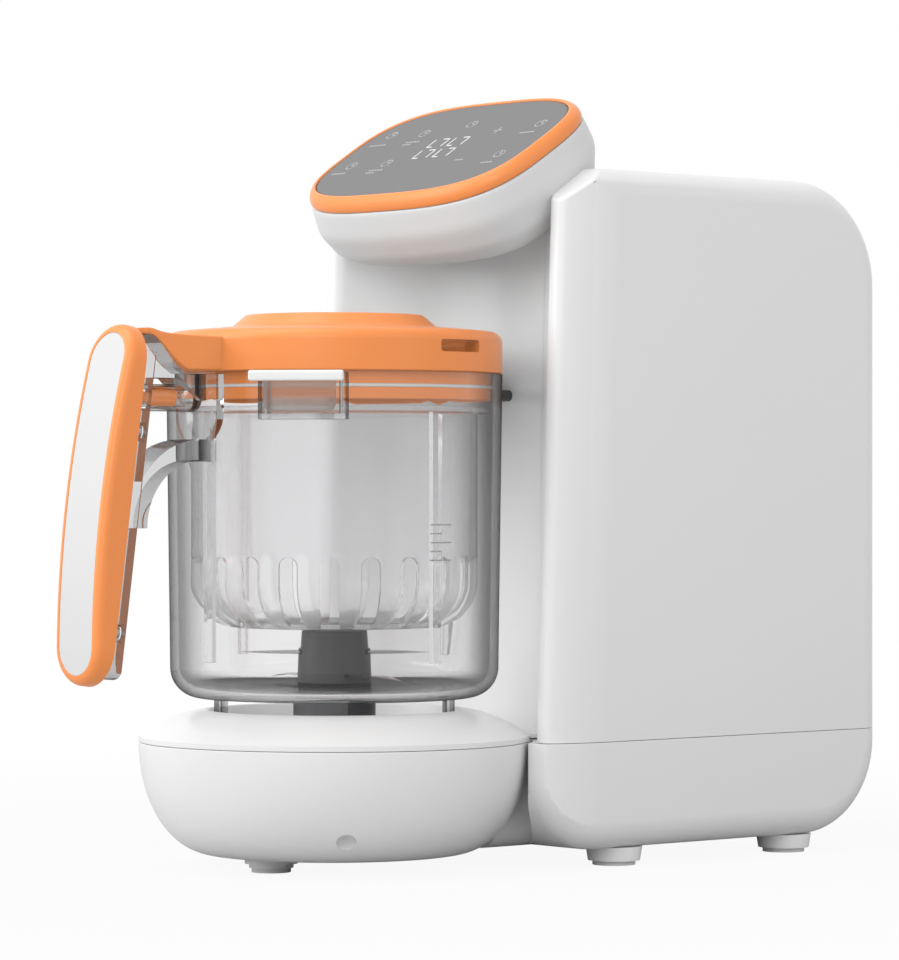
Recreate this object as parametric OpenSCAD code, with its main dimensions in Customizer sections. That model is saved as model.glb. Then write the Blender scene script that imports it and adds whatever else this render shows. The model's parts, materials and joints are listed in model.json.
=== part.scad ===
// Baby food steamer: a jug with a blade and a steaming basket stands on a motor base,
// beside a tower that holds the boiler, the pump, the water tank and the control head.
// Millimetres, +Z up, the handle points to -Y, the tower stands at +Y.
// Inside the modules the jug's axis is at X = Y = 0 and the floor at Z = 0.

/* [Tower] */
// Width of the tower across its two flat sides
tower_w = 140; // [132:1:160]
// Distance from the jug's axis to the back of the tower
tower_rear = 203; // [196:1:230]
// Height of the tower's flat top
tower_top = 244; // [240:1:260]
// Height of the underside of the tower
tower_bottom = 6.5; // [5:0.5:8]
// Height of the seam between the shells and the tray
seam_z = 44.2; // [42:0.1:46]
// Gap left open along the seam
seam_gap = 0.5; // [0.2:0.1:0.8]
// Rounding of the edges round the flat sides
edge_r = 10; // [8:0.5:12]
// Corner radius of the side view, top rear
top_rear_r = 38; // [30:1:44]
// Corner radius of the side view, bottom rear
bottom_rear_r = 34; // [26:1:36]
// Corner radius of the side view, bottom front
bottom_front_r = 26; // [20:1:30]
// Radius of the hollow front, round the jug's axis
scoop_r = 74.5; // [73.5:0.5:77]
// Rounding of the two front tips beside the hollow
tip_r = 8; // [6:0.5:9]
// Wall of the tower, the tray and the head
wall = 2.6; // [2.2:0.1:3]

/* [Head] */
// Tilt of the control panel towards the user
head_tilt = 32.5; // [28:0.5:38]
// Panel centre, distance behind the jug's axis
head_y = 48.5; // [44:0.5:52]
// Panel centre, height
head_z = 253.5; // [250:0.5:262]
// Half width of the white head shell
head_a = 56.5; // [54:0.5:62]
// Half depth of the white head shell
head_b = 36.2; // [34:0.2:40]
// How far the head reaches below its panel
head_depth = 36.5; // [34:0.5:40]
// How far the head's side draws in towards its bottom
head_draw_in = 19; // [14:0.5:22]
// Exponent of the head's rounded outline
head_power = 3.2; // [2.4:0.1:3.6]
// Height of the orange bezel ring
bezel_h = 7; // [5:0.5:9]
// Width of the bezel's top face
bezel_w = 2.4; // [2:0.1:4]
// Thickness of the glass panel
panel_t = 3; // [2:0.5:4]
// Depth of the tower's cut corner below the panel
corner_cut = 18; // [16:0.5:21]

/* [Motor base] */
// Radius of the bowl
bowl_r = 68.3; // [66:0.1:70]
// Radius of the bowl's flat bottom
bowl_flat_r = 43; // [36:1:48]
// Height of the bowl's underside
bowl_bottom = 5.3; // [4.5:0.1:6.5]
// Width of the neck between bowl and tower
neck_w = 60; // [50:1:70]
// Height of the upright edge of the dock cover
cover_edge_h = 2.8; // [2:0.2:4]
// Radius of the dock's rim
dock_r = 44; // [43.5:0.5:47]
// Height of the dock's rim
dock_z = 55.3; // [54:0.1:57]
// Depth of the dock's recess
dock_depth = 4.8; // [4:0.2:5.4]
// Radius of the hole for the drive coupling
drive_hole_r = 16.4; // [16:0.2:18]
// Radius of the round dimple low on the bowl
dimple_r = 3.6; // [3:0.1:5]
// Direction of the dimple, from the handle towards +X
dimple_angle = 55; // [40:1:70]

/* [Jug] */
// Outside radius of the jug at its rim
jug_r = 58.7; // [58:0.1:60]
// How much narrower the jug is at its foot
jug_draft = 1.4; // [0.8:0.1:2]
// Wall of the jug
jug_wall = 3; // [2.4:0.1:3.4]
// Underside of the jug
jug_bottom = 59.5; // [59:0.5:61]
// Top of the jug's rim
jug_top = 172; // [168:0.5:174]
// Corner radius at the foot of the jug
jug_corner_r = 10.5; // [8:0.5:13]
// Number of lugs under the jug
lug_count = 4; // [3:1:6]
// Direction of the spout, from the handle towards +X
spout_angle = 41; // [35:1:60]
// Width of the spout
spout_w = 30; // [24:1:34]
// Reach of the spout from the jug's axis
spout_reach = 66; // [64.5:0.5:68]
// Height of the spout
spout_h = 16.4; // [12:0.2:20]

/* [Handle] */
// Reach of the handle from the jug's axis
handle_reach = 111; // [108:0.5:116]
// Length of the handle cover
handle_len = 122; // [110:1:126]
// Width of the handle cover
handle_w = 25; // [22:0.5:28]
// Thickness of the orange cover at its ends
handle_t = 6; // [5:0.5:7]
// Slant of the handle
handle_slant = 7.7; // [5:0.1:9]
// Radius of the handle's bowed outer face
handle_bow_r = 400; // [300:10:600]
// Width of the pale inlay
inlay_w = 19; // [16:0.5:20]
// Thickness of the pale inlay
inlay_t = 2.4; // [1.6:0.1:3]
// Width of the clear core
core_w = 15; // [12:0.5:17]
// Thickness of the clear core
core_t = 7; // [6:0.5:8]

/* [Lid] */
// Height of the lid's side
lid_side_h = 14.2; // [13:0.2:16]
// Rounding of the lid's upper edge
lid_edge_r = 4; // [2:0.5:5]
// Radius of the raised disc
lid_disc_r = 31; // [24:1:36]
// Height of the raised disc above the lid's shoulder
lid_disc_h = 6.2; // [4:0.2:8]
// Depth of the skirt inside the jug
lid_skirt_h = 9.6; // [8:0.2:10]
// Wall of the lid
lid_wall = 2.4; // [2:0.1:3]
// Width of the tail over the handle
tail_w = 22; // [18:0.5:24]
// Width of the vent slot
vent_w = 20; // [14:1:24]
// Height of the vent slot
vent_h = 4.2; // [3:0.2:5]
// Direction of the vent slot, from the handle towards +X
vent_angle = 99; // [80:1:120]

/* [Basket] */
// Outside radius of the basket
basket_r = 50; // [46:0.5:51]
// Bottom of the basket
basket_bottom = 84; // [83.8:0.2:88]
// Wall of the basket
basket_wall = 1.8; // [1.4:0.1:2.2]
// Corner radius of the basket's bottom
basket_corner_r = 16; // [10:1:20]
// Number of slots
slot_count = 22; // [16:1:26]
// Width of a slot
slot_w = 6.5; // [5:0.25:7]
// Height of the slots' top
slot_top = 109; // [100:1:116]

/* [Blade] */
// Radius of the blade hub at its foot
hub_r = 13; // [11:0.5:14]
// Height of the blade hub
hub_h = 19.8; // [18:0.2:20]
// Length of a blade from the axis
blade_len = 33; // [28:0.5:38]
// Width of a blade
blade_w = 12; // [8:0.5:13]
// Thickness of a blade
blade_t = 1.5; // [1:0.1:1.6]
// Radius of the blade shaft
shaft_r = 4; // [3:0.5:4.5]
// Teeth of the coupling
tooth_count = 6; // [4:1:8]

/* [Water tank] */
// Width of the tank
tank_w = 108; // [96:1:112]
// Depth of the tank
tank_d = 50; // [40:1:54]
// Bottom of the tank
tank_bottom = 58; // [56:0.5:62]
// Height of the tank with its cap
tank_h = 146; // [130:1:148]
// Wall of the tank
tank_wall = 2.4; // [2:0.1:3]
// Gap round the tank
tank_gap = 0.6; // [0.4:0.1:1]

/* [Feet] */
// Radius of a tower foot
foot_r = 10; // [8:0.5:11]
// Half distance between the tower's feet, across
foot_x = 55; // [50:0.5:56]
// Tower's front feet behind the jug's axis
foot_front = 82; // [80:1:88]
// Tower's rear feet behind the jug's axis
foot_rear = 166; // [156:1:168]
// Bowl's foot in front of the jug's axis
foot_bowl = 28; // [20:1:34]
// Thickness of the rubber pads
pad_t = 1.6; // [1:0.2:2]

/* [Inside] */
// Radius of the boiler
boiler_r = 25; // [22:0.5:26]
// Height of the boiler
boiler_h = 64; // [50:1:66]
// Height of the boiler's foot
boiler_z = 74; // [68:1:76]
// Height of the steam nozzle
nozzle_z = 165.5; // [163:0.5:168]
// Width of the nozzle's flat tip
nozzle_w = 20; // [14:0.5:22]
// Height of the nozzle's flat tip
nozzle_h = 4; // [3:0.25:5]
// Outside radius of the hoses
hose_r = 4; // [3.5:0.25:4.5]
// Radius of the motor
motor_r = 27; // [24:0.5:30]
// Height of the motor
motor_h = 28; // [24:0.5:29]

/* [Hidden] */
$fn = 64;

// Colours as the photograph shows them
white = [0.93, 0.93, 0.93];
orange = [0.94, 0.58, 0.33];
clear = [0.80, 0.82, 0.83, 0.45];
dark = [0.28, 0.28, 0.29];
steel = [0.75, 0.76, 0.77];

// General fits
fit = 0.3;
overlap = 1;
tiny = 0.01;
far = 400;

// The origin lies under the middle of the whole object, so the jug's axis is moved from it
axis_y = (handle_reach - tower_rear) / 2;
tray_top = seam_z;
shell_bottom = seam_z + seam_gap;

// Centre of a front tip of the tower: its round touches the hollow front and the side
tip_x = tower_w / 2 - tip_r;
tip_y = sqrt(pow(scoop_r + tip_r, 2) - pow(tip_x, 2));

// Jug heights and radii
jug_inner_r = jug_r - jug_wall;
jug_foot_r = jug_r - jug_draft;
jug_floor = jug_bottom + jug_wall;
lid_bottom = jug_top + fit;
lid_top = lid_bottom + lid_side_h;
dock_floor = dock_z - dock_depth;
rib_w = 3;
rib_depth = 2.2;
basket_top = jug_top - lid_skirt_h - 2;
flange_t = 2;

// Moves children from the jug's axis to the part's origin
module place() {
    translate([0, axis_y, 0]) children();
}

// Turns children to a direction counted from the handle (-Y) towards +X
module toward(angle) {
    rotate([0, 0, angle - 90]) children();
}

// Prism whose outline is drawn in the Y-Z plane, centred on X = 0
module side_prism(width) {
    rotate([90, 0, 90])
        translate([0, 0, -width / 2])
            linear_extrude(width) children();
}

// Disc on the X axis with rounded rims, one corner of the tower's side view
module corner_disc(y, z, radius, width, rim) {
    translate([0, y, z])
        rotate([0, 90, 0])
            rotate_extrude($fn = 40)
                union() {
                    translate([0, -width / 2]) square([max(radius - rim, tiny), width]);
                    translate([0, -width / 2 + rim]) square([radius, width - 2 * rim]);
                    for (side = [-1, 1])
                        intersection() {
                            translate([max(radius - rim, 0), side * (width / 2 - rim)])
                                circle(rim, $fn = 24);
                            translate([0, -width]) square([radius + rim, 2 * width]);
                        }
                }
}

// Closed outer form of the tower; inset shrinks it for the hollow inside
module tower_form(inset) {
    rim = edge_r - inset;
    front = tip_y - tip_r;
    hull() {
        corner_disc(tower_rear - top_rear_r, tower_top - top_rear_r, top_rear_r - inset,
            tower_w - 2 * inset, rim);
        corner_disc(tower_rear - bottom_rear_r, tower_bottom + bottom_rear_r, bottom_rear_r - inset,
            tower_w - 2 * inset, rim);
        corner_disc(front + bottom_front_r, tower_bottom + bottom_front_r, bottom_front_r - inset,
            tower_w - 2 * inset, rim);
        corner_disc(front + edge_r, tower_top - edge_r, edge_r - inset, tower_w - 2 * inset, rim);
    }
}

// Plan of the tower: behind the hollow front, with two rounded tips
module tower_plan(inset) {
    difference() {
        translate([inset - tower_w / 2, 0]) square([tower_w - 2 * inset, tower_rear + overlap]);
        circle(scoop_r + inset, $fn = 128);
        for (side = [-1, 1])
            polygon([[0, 0], [side * tip_x, tip_y], [side * far, tip_y],
                [side * far, -overlap], [0, -overlap]]);
    }
    for (side = [-1, 1])
        translate([side * tip_x, tip_y]) circle(tip_r - inset);
}

// Moves children into the head's frame: its panel is the plane Z = 0
module head_frame() {
    translate([0, head_y, head_z]) rotate([head_tilt, 0, 0]) children();
}

// Rounded outline of the head
function outline(a, b, count = 64) = [for (i = [0 : count - 1])
    let (t = 360 * i / count, c = cos(t), s = sin(t))
    [a * sign(c) * pow(abs(c), 2 / head_power), b * sign(s) * pow(abs(s), 2 / head_power)]];

// Body of the head below its bezel; the side draws in on a quarter arc
module head_form(inset) {
    steps = 6;
    share = 0.97;
    depth = head_depth - bezel_h - inset;
    hull()
        for (i = [0 : steps])
            let (t = i / steps, draw = head_draw_in * (1 - sqrt(1 - share * t * t)))
                translate([0, draw / 4, -bezel_h - tiny - depth * t])
                    linear_extrude(tiny)
                        polygon(outline(head_a - draw - inset, head_b - draw - inset));
}

// The tower's solid with the front corner cut off parallel to the panel
module tower_solid(inset) {
    difference() {
        intersection() {
            tower_form(inset);
            linear_extrude(far) tower_plan(inset);
        }
        head_frame()
            translate([-far / 2, -far / 2, -corner_cut - inset]) cube([far, far, far]);
    }
}

tank_front = tower_rear - tank_d;
gland_x = -40;
gland_r = 4.4;
gland_wall = 1.6;
gland_z = 49.8;
post_x = 46;
post_front = 98;
post_rear = 140;
post_r = 4;
screw_r = 1.6;
screw_head_r = 3.2;
screw_bite = 8;
screw_play = 0.05;
board_gap = 6;
board_x = -tower_w / 2 + wall + board_gap;
board_t = 1.6;
board_front = 84;
board_rear = 140;
board_low = 80;
board_high = 180;
standoff_r = 3;
standoff_in = 6;
standoff_up = 8;

// Four places of the power board's standoffs, as [y, z]
standoffs = [for (y = [board_front + standoff_in, board_rear - standoff_in],
    z = [board_low + standoff_up, board_high - standoff_up]) [y, z]];
// Four places of the posts that join tray and tower, as [x, y]
posts = [for (x = [-post_x, post_x], y = [post_front, post_rear]) [x, y]];

// Space that the tank slides out of
module tank_niche(grow) {
    room = tank_gap + grow;
    translate([-tank_w / 2 - room, tank_front - room, tank_bottom - room])
        cube([tank_w + 2 * room, far, tank_h + 2 * room]);
}

module tower_shell() {
    arch_w = 27;
    arch_top = 190;
    way = 10;
    color(white)
        difference() {
            union() {
                difference() {
                    tower_solid(0);
                    difference() {
                        tower_solid(wall);
                        tank_niche(wall);
                    }
                    tank_niche(0);
                    head_frame() head_cutter();
                }
                // Low arch that carries the nozzle
                intersection() {
                    difference() {
                        cylinder(r = scoop_r + wall / 2, h = far);
                        cylinder(r = scoop_r - arch_rise, h = far);
                    }
                    translate([0, far / 2, 0])
                        rotate([90, 0, 0])
                            linear_extrude(far / 2)
                                union() {
                                    translate([0, arch_top - arch_w / 2]) circle(arch_w / 2);
                                    translate([-arch_w / 2, shell_bottom])
                                        square([arch_w, arch_top - arch_w / 2 - shell_bottom]);
                                }
                }
                // Standoffs of the power board
                for (p = standoffs)
                    translate([-tower_w / 2 + wall / 2, p[0], p[1]])
                        rotate([0, 90, 0])
                            cylinder(r = standoff_r, h = board_x + tower_w / 2 - wall / 2);
                // Posts that the base screws hold
                for (p = posts)
                    translate([p[0], p[1], shell_bottom])
                        cylinder(r = post_r, h = tank_bottom - tank_gap - wall - shell_bottom - fit);
                post_webs();
            }
            translate([-far, -far, -overlap]) cube([2 * far, 2 * far, shell_bottom + overlap]);
            // Nozzle slot
            translate([-nozzle_w / 2 - fit, scoop_r - way, nozzle_z - nozzle_h / 2 - fit])
                cube([nozzle_w + 2 * fit, way + wall + overlap, nozzle_h + 2 * fit]);
            // Hole for the tank port in the niche's front wall
            translate([port_x, tank_front - way, port_z])
                rotate([-90, 0, 0]) cylinder(r = port_r + fit, h = 2 * way);
            // Hole for the cord gland
            translate([gland_x, tower_rear - wall - way, gland_z])
                rotate([-90, 0, 0]) cylinder(r = gland_r + fit / 3, h = 3 * way);
            for (p = posts)
                translate([p[0], p[1], shell_bottom - overlap])
                    cylinder(r = screw_r, h = screw_bite + 2 * overlap);
        }
}

// Webs that tie the screw posts to the side walls
module post_webs() {
    web = 2;
    for (p = posts)
        translate([min(p[0], sign(p[0]) * (tower_w / 2 - wall / 2)), p[1] - web / 2, shell_bottom])
            cube([abs(tower_w / 2 - wall / 2 - post_x), web,
                tank_bottom - tank_gap - wall - shell_bottom - fit]);
}

// What the head's shell takes out of the tower, with the joint's gap
module head_cutter() {
    translate([0, 0, -fit / 2]) head_form(-fit / 2);
}

// Half section of the bowl below the seam, an elliptic quarter arc
function bowl_arc(radius, flat, low, high, count = 14) = [for (i = [0 : count])
    let (t = 90 * i / count)
    [flat + (radius - flat) * sin(t), high - (high - low) * cos(t)]];

// Bowl up to the seam; lift carries the hollow through its open top
module bowl_form(inset, lift) {
    rotate_extrude($fn = 128)
        polygon(concat([[0, bowl_bottom + inset]],
            bowl_arc(bowl_r - inset, bowl_flat_r - inset, bowl_bottom + inset, tray_top),
            lift > 0 ? [[bowl_r - inset, tray_top + lift]] : [],
            [[0, tray_top + lift]]));
}

neck_front = 40;
neck_rear = 92;
neck_bottom = tower_bottom;

// Block between bowl and tower, with rounded lower edges
module neck_form(inset) {
    round_r = 8;
    half = neck_w / 2 - inset;
    translate([0, neck_rear - inset, 0])
        rotate([90, 0, 0])
            linear_extrude(neck_rear - neck_front - 2 * inset)
                union() {
                    translate([-half, neck_bottom + round_r])
                        square([2 * half, tray_top - neck_bottom - round_r]);
                    translate([-half + round_r, neck_bottom + inset])
                        square([2 * (half - round_r), tray_top - neck_bottom - inset]);
                    for (side = [-1, 1])
                        translate([side * (half - round_r), neck_bottom + round_r]) circle(round_r - inset);
                }
}

tower_floor = tower_bottom + wall;
bowl_floor = bowl_bottom + wall;

module base_tray() {
    dimple_z = 14;
    dimple_lift = 1.2;
    screw_sink = 3;
    sink = (tray_top - dimple_z) / (tray_top - bowl_bottom);
    dimple_out = bowl_flat_r + (bowl_r - bowl_flat_r) * sqrt(1 - sink * sink) + dimple_lift;
    color(white)
        difference() {
            union() {
                difference() {
                    union() {
                        bowl_form(0, 0);
                        intersection() {
                            tower_solid(0);
                            cube([far, 2 * far, 2 * tray_top], center = true);
                        }
                        neck_form(0);
                    }
                    bowl_form(wall, overlap);
                    tower_solid(wall);
                    neck_form(wall);
                }
                // Posts that the base screws pass through
                for (p = posts)
                    translate([p[0], p[1], tower_floor - tiny])
                        cylinder(r = post_r, h = tray_top - tower_floor + tiny);
            }
            for (p = posts) {
                translate([p[0], p[1], 0]) cylinder(r = screw_r + fit / 2, h = far);
                translate([p[0], p[1], 0])
                    cylinder(r = screw_head_r + fit / 2, h = tower_bottom + screw_sink);
            }
            toward(dimple_angle)
                translate([dimple_out, 0, dimple_z]) sphere(dimple_r);
        }
}

// The jug's seat, the domed top of the bowl and the tongue over the neck
module dock_cover() {
    low = shell_bottom;
    shoulder = low + cover_edge_h;
    dome_share = 0.66;
    dome_mid_r = (bowl_r + dock_r) / 2;
    dome_mid_z = shoulder + (dock_z - shoulder) * dome_share;
    edge_round = 1.4;
    belly_out = 5;
    belly_drop = 1;
    crest = 0.6;
    rim_out = 4;
    rim_drop = 0.4;
    lip = 1;
    web = 2;
    color(white)
        difference() {
            union() {
                rotate_extrude($fn = 128)
                    difference() {
                        polygon([[0, low], [bowl_r, low], [bowl_r, shoulder],
                            [bowl_r - edge_round, shoulder + edge_round],
                            [dome_mid_r + belly_out, dome_mid_z - belly_drop],
                            [dome_mid_r, dome_mid_z + crest], [dock_r + rim_out, dock_z - rim_drop],
                            [dock_r, dock_z], [dock_r - lip, dock_z - lip],
                            [dock_r - lip, dock_floor], [0, dock_floor]]);
                        polygon([[0, low - overlap], [bowl_r - wall, low - overlap],
                            [bowl_r - wall, shoulder - crest], [dome_mid_r, dome_mid_z - wall],
                            [dock_r + web, dome_mid_z - wall], [dock_r + web, dock_floor - wall],
                            [0, dock_floor - wall]]);
                        square([drive_hole_r, far]);
                    }
                // Tongue that closes the neck up to the tower
                intersection() {
                    difference() {
                        translate([-neck_w / 2, 0, low]) cube([neck_w, far, cover_edge_h]);
                        cylinder(r = bowl_r - overlap, h = far);
                    }
                    cylinder(r = scoop_r - arch_rise - fit, h = far);
                }
            }
            translate([0, switch_y, 0]) cylinder(r = plunger_r + fit, h = far);
        }
}

module head_shell() {
    color(white)
        difference() {
            head_frame() head_form(0);
            head_frame() translate([0, 0, overlap / 10]) head_form(wall);
            // Way for the wires into the tower
            head_frame()
                translate([0, wire_y, -head_depth - overlap]) cylinder(r = wire_r, h = head_depth);
        }
}

// Ring round the glass, with a rounded outer edge and a ledge below the glass
module bezel_ring() {
    round_t = 1.8;
    color(orange)
        head_frame()
            difference() {
                hull() {
                    translate([0, 0, -bezel_h]) linear_extrude(bezel_h - round_t)
                        polygon(outline(head_a - bezel_step, head_b - bezel_step));
                    translate([0, 0, bezel_rise - tiny]) linear_extrude(tiny)
                        polygon(outline(panel_a + bezel_w / 2, panel_b + bezel_w / 2));
                }
                translate([0, 0, -panel_t - tiny]) linear_extrude(bezel_h)
                    polygon(outline(panel_a + fit / 2, panel_b + fit / 2));
                translate([0, 0, -bezel_h - overlap]) linear_extrude(2 * bezel_h)
                    polygon(outline(panel_a - ledge, panel_b - ledge));
            }
}

bezel_rise = 0.6;
bezel_step = 0.4;
bezel_side = 1.2;
ledge = 2.5;
panel_a = head_a - bezel_side - bezel_w;
panel_b = head_b - bezel_side - bezel_w;
display_w = 46;
display_d = 20;
display_t = 3.4;
display_board_t = 1.6;
arch_rise = 1.4;
wire_y = 10;
wire_r = 9;
switch_y = 36;
plunger_r = 1.5;

module touch_panel() {
    color([0.58, 0.58, 0.58])
        head_frame()
            translate([0, 0, -panel_t]) linear_extrude(panel_t) polygon(outline(panel_a, panel_b));
}

module digit_display() {
    color("black")
        head_frame()
            translate([-display_w / 2, -display_d / 2, -panel_t - display_t])
                cube([display_w, display_d, display_t]);
}

module display_board() {
    margin = 8;
    color("darkgreen")
        head_frame()
            translate([0, 0, -panel_t - display_t - display_board_t])
                linear_extrude(display_board_t) polygon(outline(panel_a - margin, panel_b - margin));
}

// Flat steam outlet with its flange inside the tower and its hose tail
nozzle_gap = 0.8;
nozzle_front = jug_r + nozzle_gap;
gasket_t = 1.2;
nozzle_back = scoop_r + wall + gasket_t;
flange_depth = 2;
tail_r = 2;
tail_len = 8;
module steam_nozzle() {
    rim = 4;
    side_wall = 1.5;
    face_wall = 1;
    color(dark)
        difference() {
            union() {
                translate([0, nozzle_back, nozzle_z])
                    rotate([90, 0, 0])
                        linear_extrude(nozzle_back - nozzle_front)
                            stadium(nozzle_w, nozzle_h);
                translate([0, nozzle_back + flange_depth, nozzle_z])
                    rotate([90, 0, 0])
                        linear_extrude(flange_depth) stadium(nozzle_w + 2 * rim, nozzle_h + 2 * rim);
                translate([0, nozzle_back + flange_depth - tiny, nozzle_z])
                    rotate([-90, 0, 0]) cylinder(r = tail_r, h = tail_len);
            }
            translate([0, nozzle_back, nozzle_z])
                rotate([90, 0, 0])
                    linear_extrude(far) stadium(nozzle_w - 2 * side_wall, nozzle_h - 2 * face_wall);
            translate([0, nozzle_back - overlap, nozzle_z])
                rotate([-90, 0, 0]) cylinder(r = tail_r / 2, h = far);
        }
}

// Flat outline with two round ends, along X
module stadium(width, height) {
    square([width - height, height], center = true);
    for (side = [-1, 1])
        translate([side * (width - height) / 2, 0]) circle(height / 2);
}

module nozzle_gasket() {
    rim = 3;
    front = scoop_r + wall;
    color("dimgray")
        translate([0, nozzle_back, nozzle_z])
            rotate([90, 0, 0])
                linear_extrude(nozzle_back - front)
                    difference() {
                        stadium(nozzle_w + 2 * rim, nozzle_h + 2 * rim);
                        stadium(nozzle_w + fit, nozzle_h + fit);
                    }
}

boiler_y = 112;
stub_len = 8;
slip = 0.2;
bore_r = tail_r + slip;
boiler_top = boiler_z + boiler_h;
bend_r = 12;

// Hose from the boiler up and forward to the nozzle, with one bend
module steam_hose() {
    start = boiler_top + 1;
    low = nozzle_z - bend_r;
    front = nozzle_back + flange_depth + fit;
    color("whitesmoke")
        difference() {
            steam_run(hose_r, start, low, front);
            steam_run(bore_r, start - overlap, low, front - overlap);
        }
}

module steam_run(radius, start, low, front) {
    translate([0, boiler_y, start]) cylinder(r = radius, h = low - start);
    translate([0, boiler_y - bend_r, low])
        rotate([90, 0, 90])
            rotate_extrude(angle = 90) translate([bend_r, 0]) circle(radius);
    translate([0, front, nozzle_z])
        rotate([-90, 0, 0]) cylinder(r = radius, h = boiler_y - bend_r - front);
}

// Closed kettle with domed edges, an inlet below and an outlet on top
module boiler() {
    soft = 5;
    color("silver")
        translate([0, boiler_y, boiler_z]) {
            rotate_extrude() {
                square([boiler_r - soft, boiler_h]);
                translate([0, soft]) square([boiler_r, boiler_h - 2 * soft]);
                for (z = [soft, boiler_h - soft])
                    translate([boiler_r - soft, z]) circle(soft);
            }
            translate([0, 0, boiler_h - tiny]) cylinder(r = tail_r, h = stub_len);
            translate([0, 0, -stub_len + tiny]) cylinder(r = hose_r, h = stub_len);
        }
}

bracket_t = 2;
module boiler_bracket() {
    leg_w = 12;
    color("gainsboro")
        translate([0, boiler_y, 0]) {
            translate([0, 0, boiler_z - bracket_t])
                difference() {
                    cylinder(r = boiler_r, h = bracket_t);
                    translate([0, 0, -overlap]) cylinder(r = hose_r + overlap, h = far);
                }
            for (side = [-1, 1])
                translate([-leg_w / 2, side * (boiler_r - bracket_t) - bracket_t / 2, tower_floor])
                    cube([leg_w, bracket_t, boiler_z - tower_floor - bracket_t / 2]);
        }
}

module thermostat() {
    out = 13;
    back = 5;
    cap_r = 6;
    cap_t = 4;
    tab = [6, 2, 8];
    color("ivory")
        translate([out, boiler_y + back, boiler_top]) {
            cylinder(r = cap_r, h = cap_t);
            translate([-tab[0] / 2, -tab[1] / 2, 0]) cube(tab);
        }
}

pump_x = 24;
pump_y = 108;
pump_r = 15;
pump_mount_t = 3;
pump_foot = tower_floor + pump_mount_t;
pump_top = 46;
nipple_in = 10;
nipple_h = 5;
module water_pump() {
    color("dimgray")
        translate([pump_x, pump_y, 0]) {
            translate([0, 0, pump_foot]) cylinder(r = pump_r, h = pump_top - pump_foot);
            for (side = [-1, 1])
                translate([0, side * nipple_in, pump_top - tiny]) cylinder(r = hose_r - 1, h = nipple_h);
        }
}

module pump_mount() {
    foot = 17;
    hole_in = 3;
    hole_r = 1.5;
    color("black")
        translate([pump_x, pump_y, tower_floor])
            difference() {
                translate([-foot, -foot / 2, 0]) cube([2 * foot, foot, pump_mount_t]);
                for (side = [-1, 1])
                    translate([side * (foot - hole_in), 0, -overlap]) cylinder(r = hole_r, h = far);
            }
}

// Hose of straight runs with slightly fuller round elbows through the given points
module hose(points, radius) {
    elbow = 0.15;
    for (i = [0 : len(points) - 2])
        let (run = points[i + 1] - points[i], length = norm(run))
            translate(points[i])
                rotate([0, acos(run[2] / length), atan2(run[1], run[0])]) cylinder(r = radius, h = length);
    if (len(points) > 2)
        for (i = [1 : len(points) - 2])
            translate(points[i]) sphere(radius + elbow);
}

port_x = pump_x;
port_z = 66;
port_r = 8;
port_len = 16;
port_play = 0.2;
port_front = tank_front - port_len;
port_rear = tank_front - tank_gap - port_play;
spigot_r = 5;
spigot_play = 0.6;

module feed_hose() {
    color("whitesmoke")
        hose([[port_x, port_front, port_z], [port_x, pump_y + nipple_in, port_z],
            [port_x, pump_y + nipple_in, pump_top + nipple_h]], hose_r);
}

module boiler_hose() {
    rise = pump_top + 3 * hose_r;
    color("whitesmoke")
        hose([[pump_x, pump_y - nipple_in, pump_top + nipple_h], [pump_x, pump_y - nipple_in, rise],
            [0, boiler_y, rise], [0, boiler_y, boiler_z - stub_len]], hose_r);
}

// Socket that the tank's spigot plugs into, set in the niche's front wall
module tank_port() {
    collar = 4;
    closed_end = 3;
    collar_rear = tank_front - tank_gap - wall;
    color(dark)
        translate([port_x, 0, port_z])
            rotate([-90, 0, 0])
                difference() {
                    union() {
                        translate([0, 0, port_front]) cylinder(r = port_r, h = port_rear - port_front);
                        translate([0, 0, port_front + collar])
                            cylinder(r = port_r + collar, h = collar_rear - port_front - collar);
                    }
                    translate([0, 0, port_front + closed_end])
                        cylinder(r = spigot_r + spigot_play, h = far);
                }
}

module power_board() {
    color("darkgreen")
        translate([board_x, board_front, board_low])
            cube([board_t, board_rear - board_front, board_high - board_low]);
}

// Transformer, capacitors and relay on the power board
module board_components() {
    base_x = board_x + board_t;
    margin = 10;
    core = [18, 26, 24];
    relay = [12, 20, 16];
    can_count = 3;
    can_r = 6;
    can_h = 18;
    can_step = 16;
    can_low = 18;
    color("gold")
        translate([base_x, board_front + margin, board_low + margin]) cube(core);
    color("black")
        translate([base_x, board_front + margin, board_high - margin - standoff_up - relay[2]])
            cube(relay);
    color("navy")
        for (i = [0 : can_count - 1])
            translate([base_x, board_rear - margin, board_low + can_low + i * can_step])
                rotate([0, 90, 0]) cylinder(r = can_r, h = can_h);
}

mount_t = 2;
grommet_ring = motor_r + 4.5;
grommet_count = 4;
grommet_turn = 45;
grommet_h = 4;
grommet_r = 3;
pin_r = 1.6;
motor_clear = 0.6;
motor_low = bowl_floor + mount_t + motor_clear;
flange_z = bowl_floor + mount_t + grommet_h;
drive_r = 3;
shaft_seat = 3;
motor_rib = 1.6;
motor_wall = 2;
air_gap = 1;
rotor_r = motor_r - motor_rib - motor_wall - air_gap;
rotor_low = motor_low + shaft_seat + motor_wall + air_gap;
rotor_high = motor_low + motor_h - motor_wall - 2 * air_gap;

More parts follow.
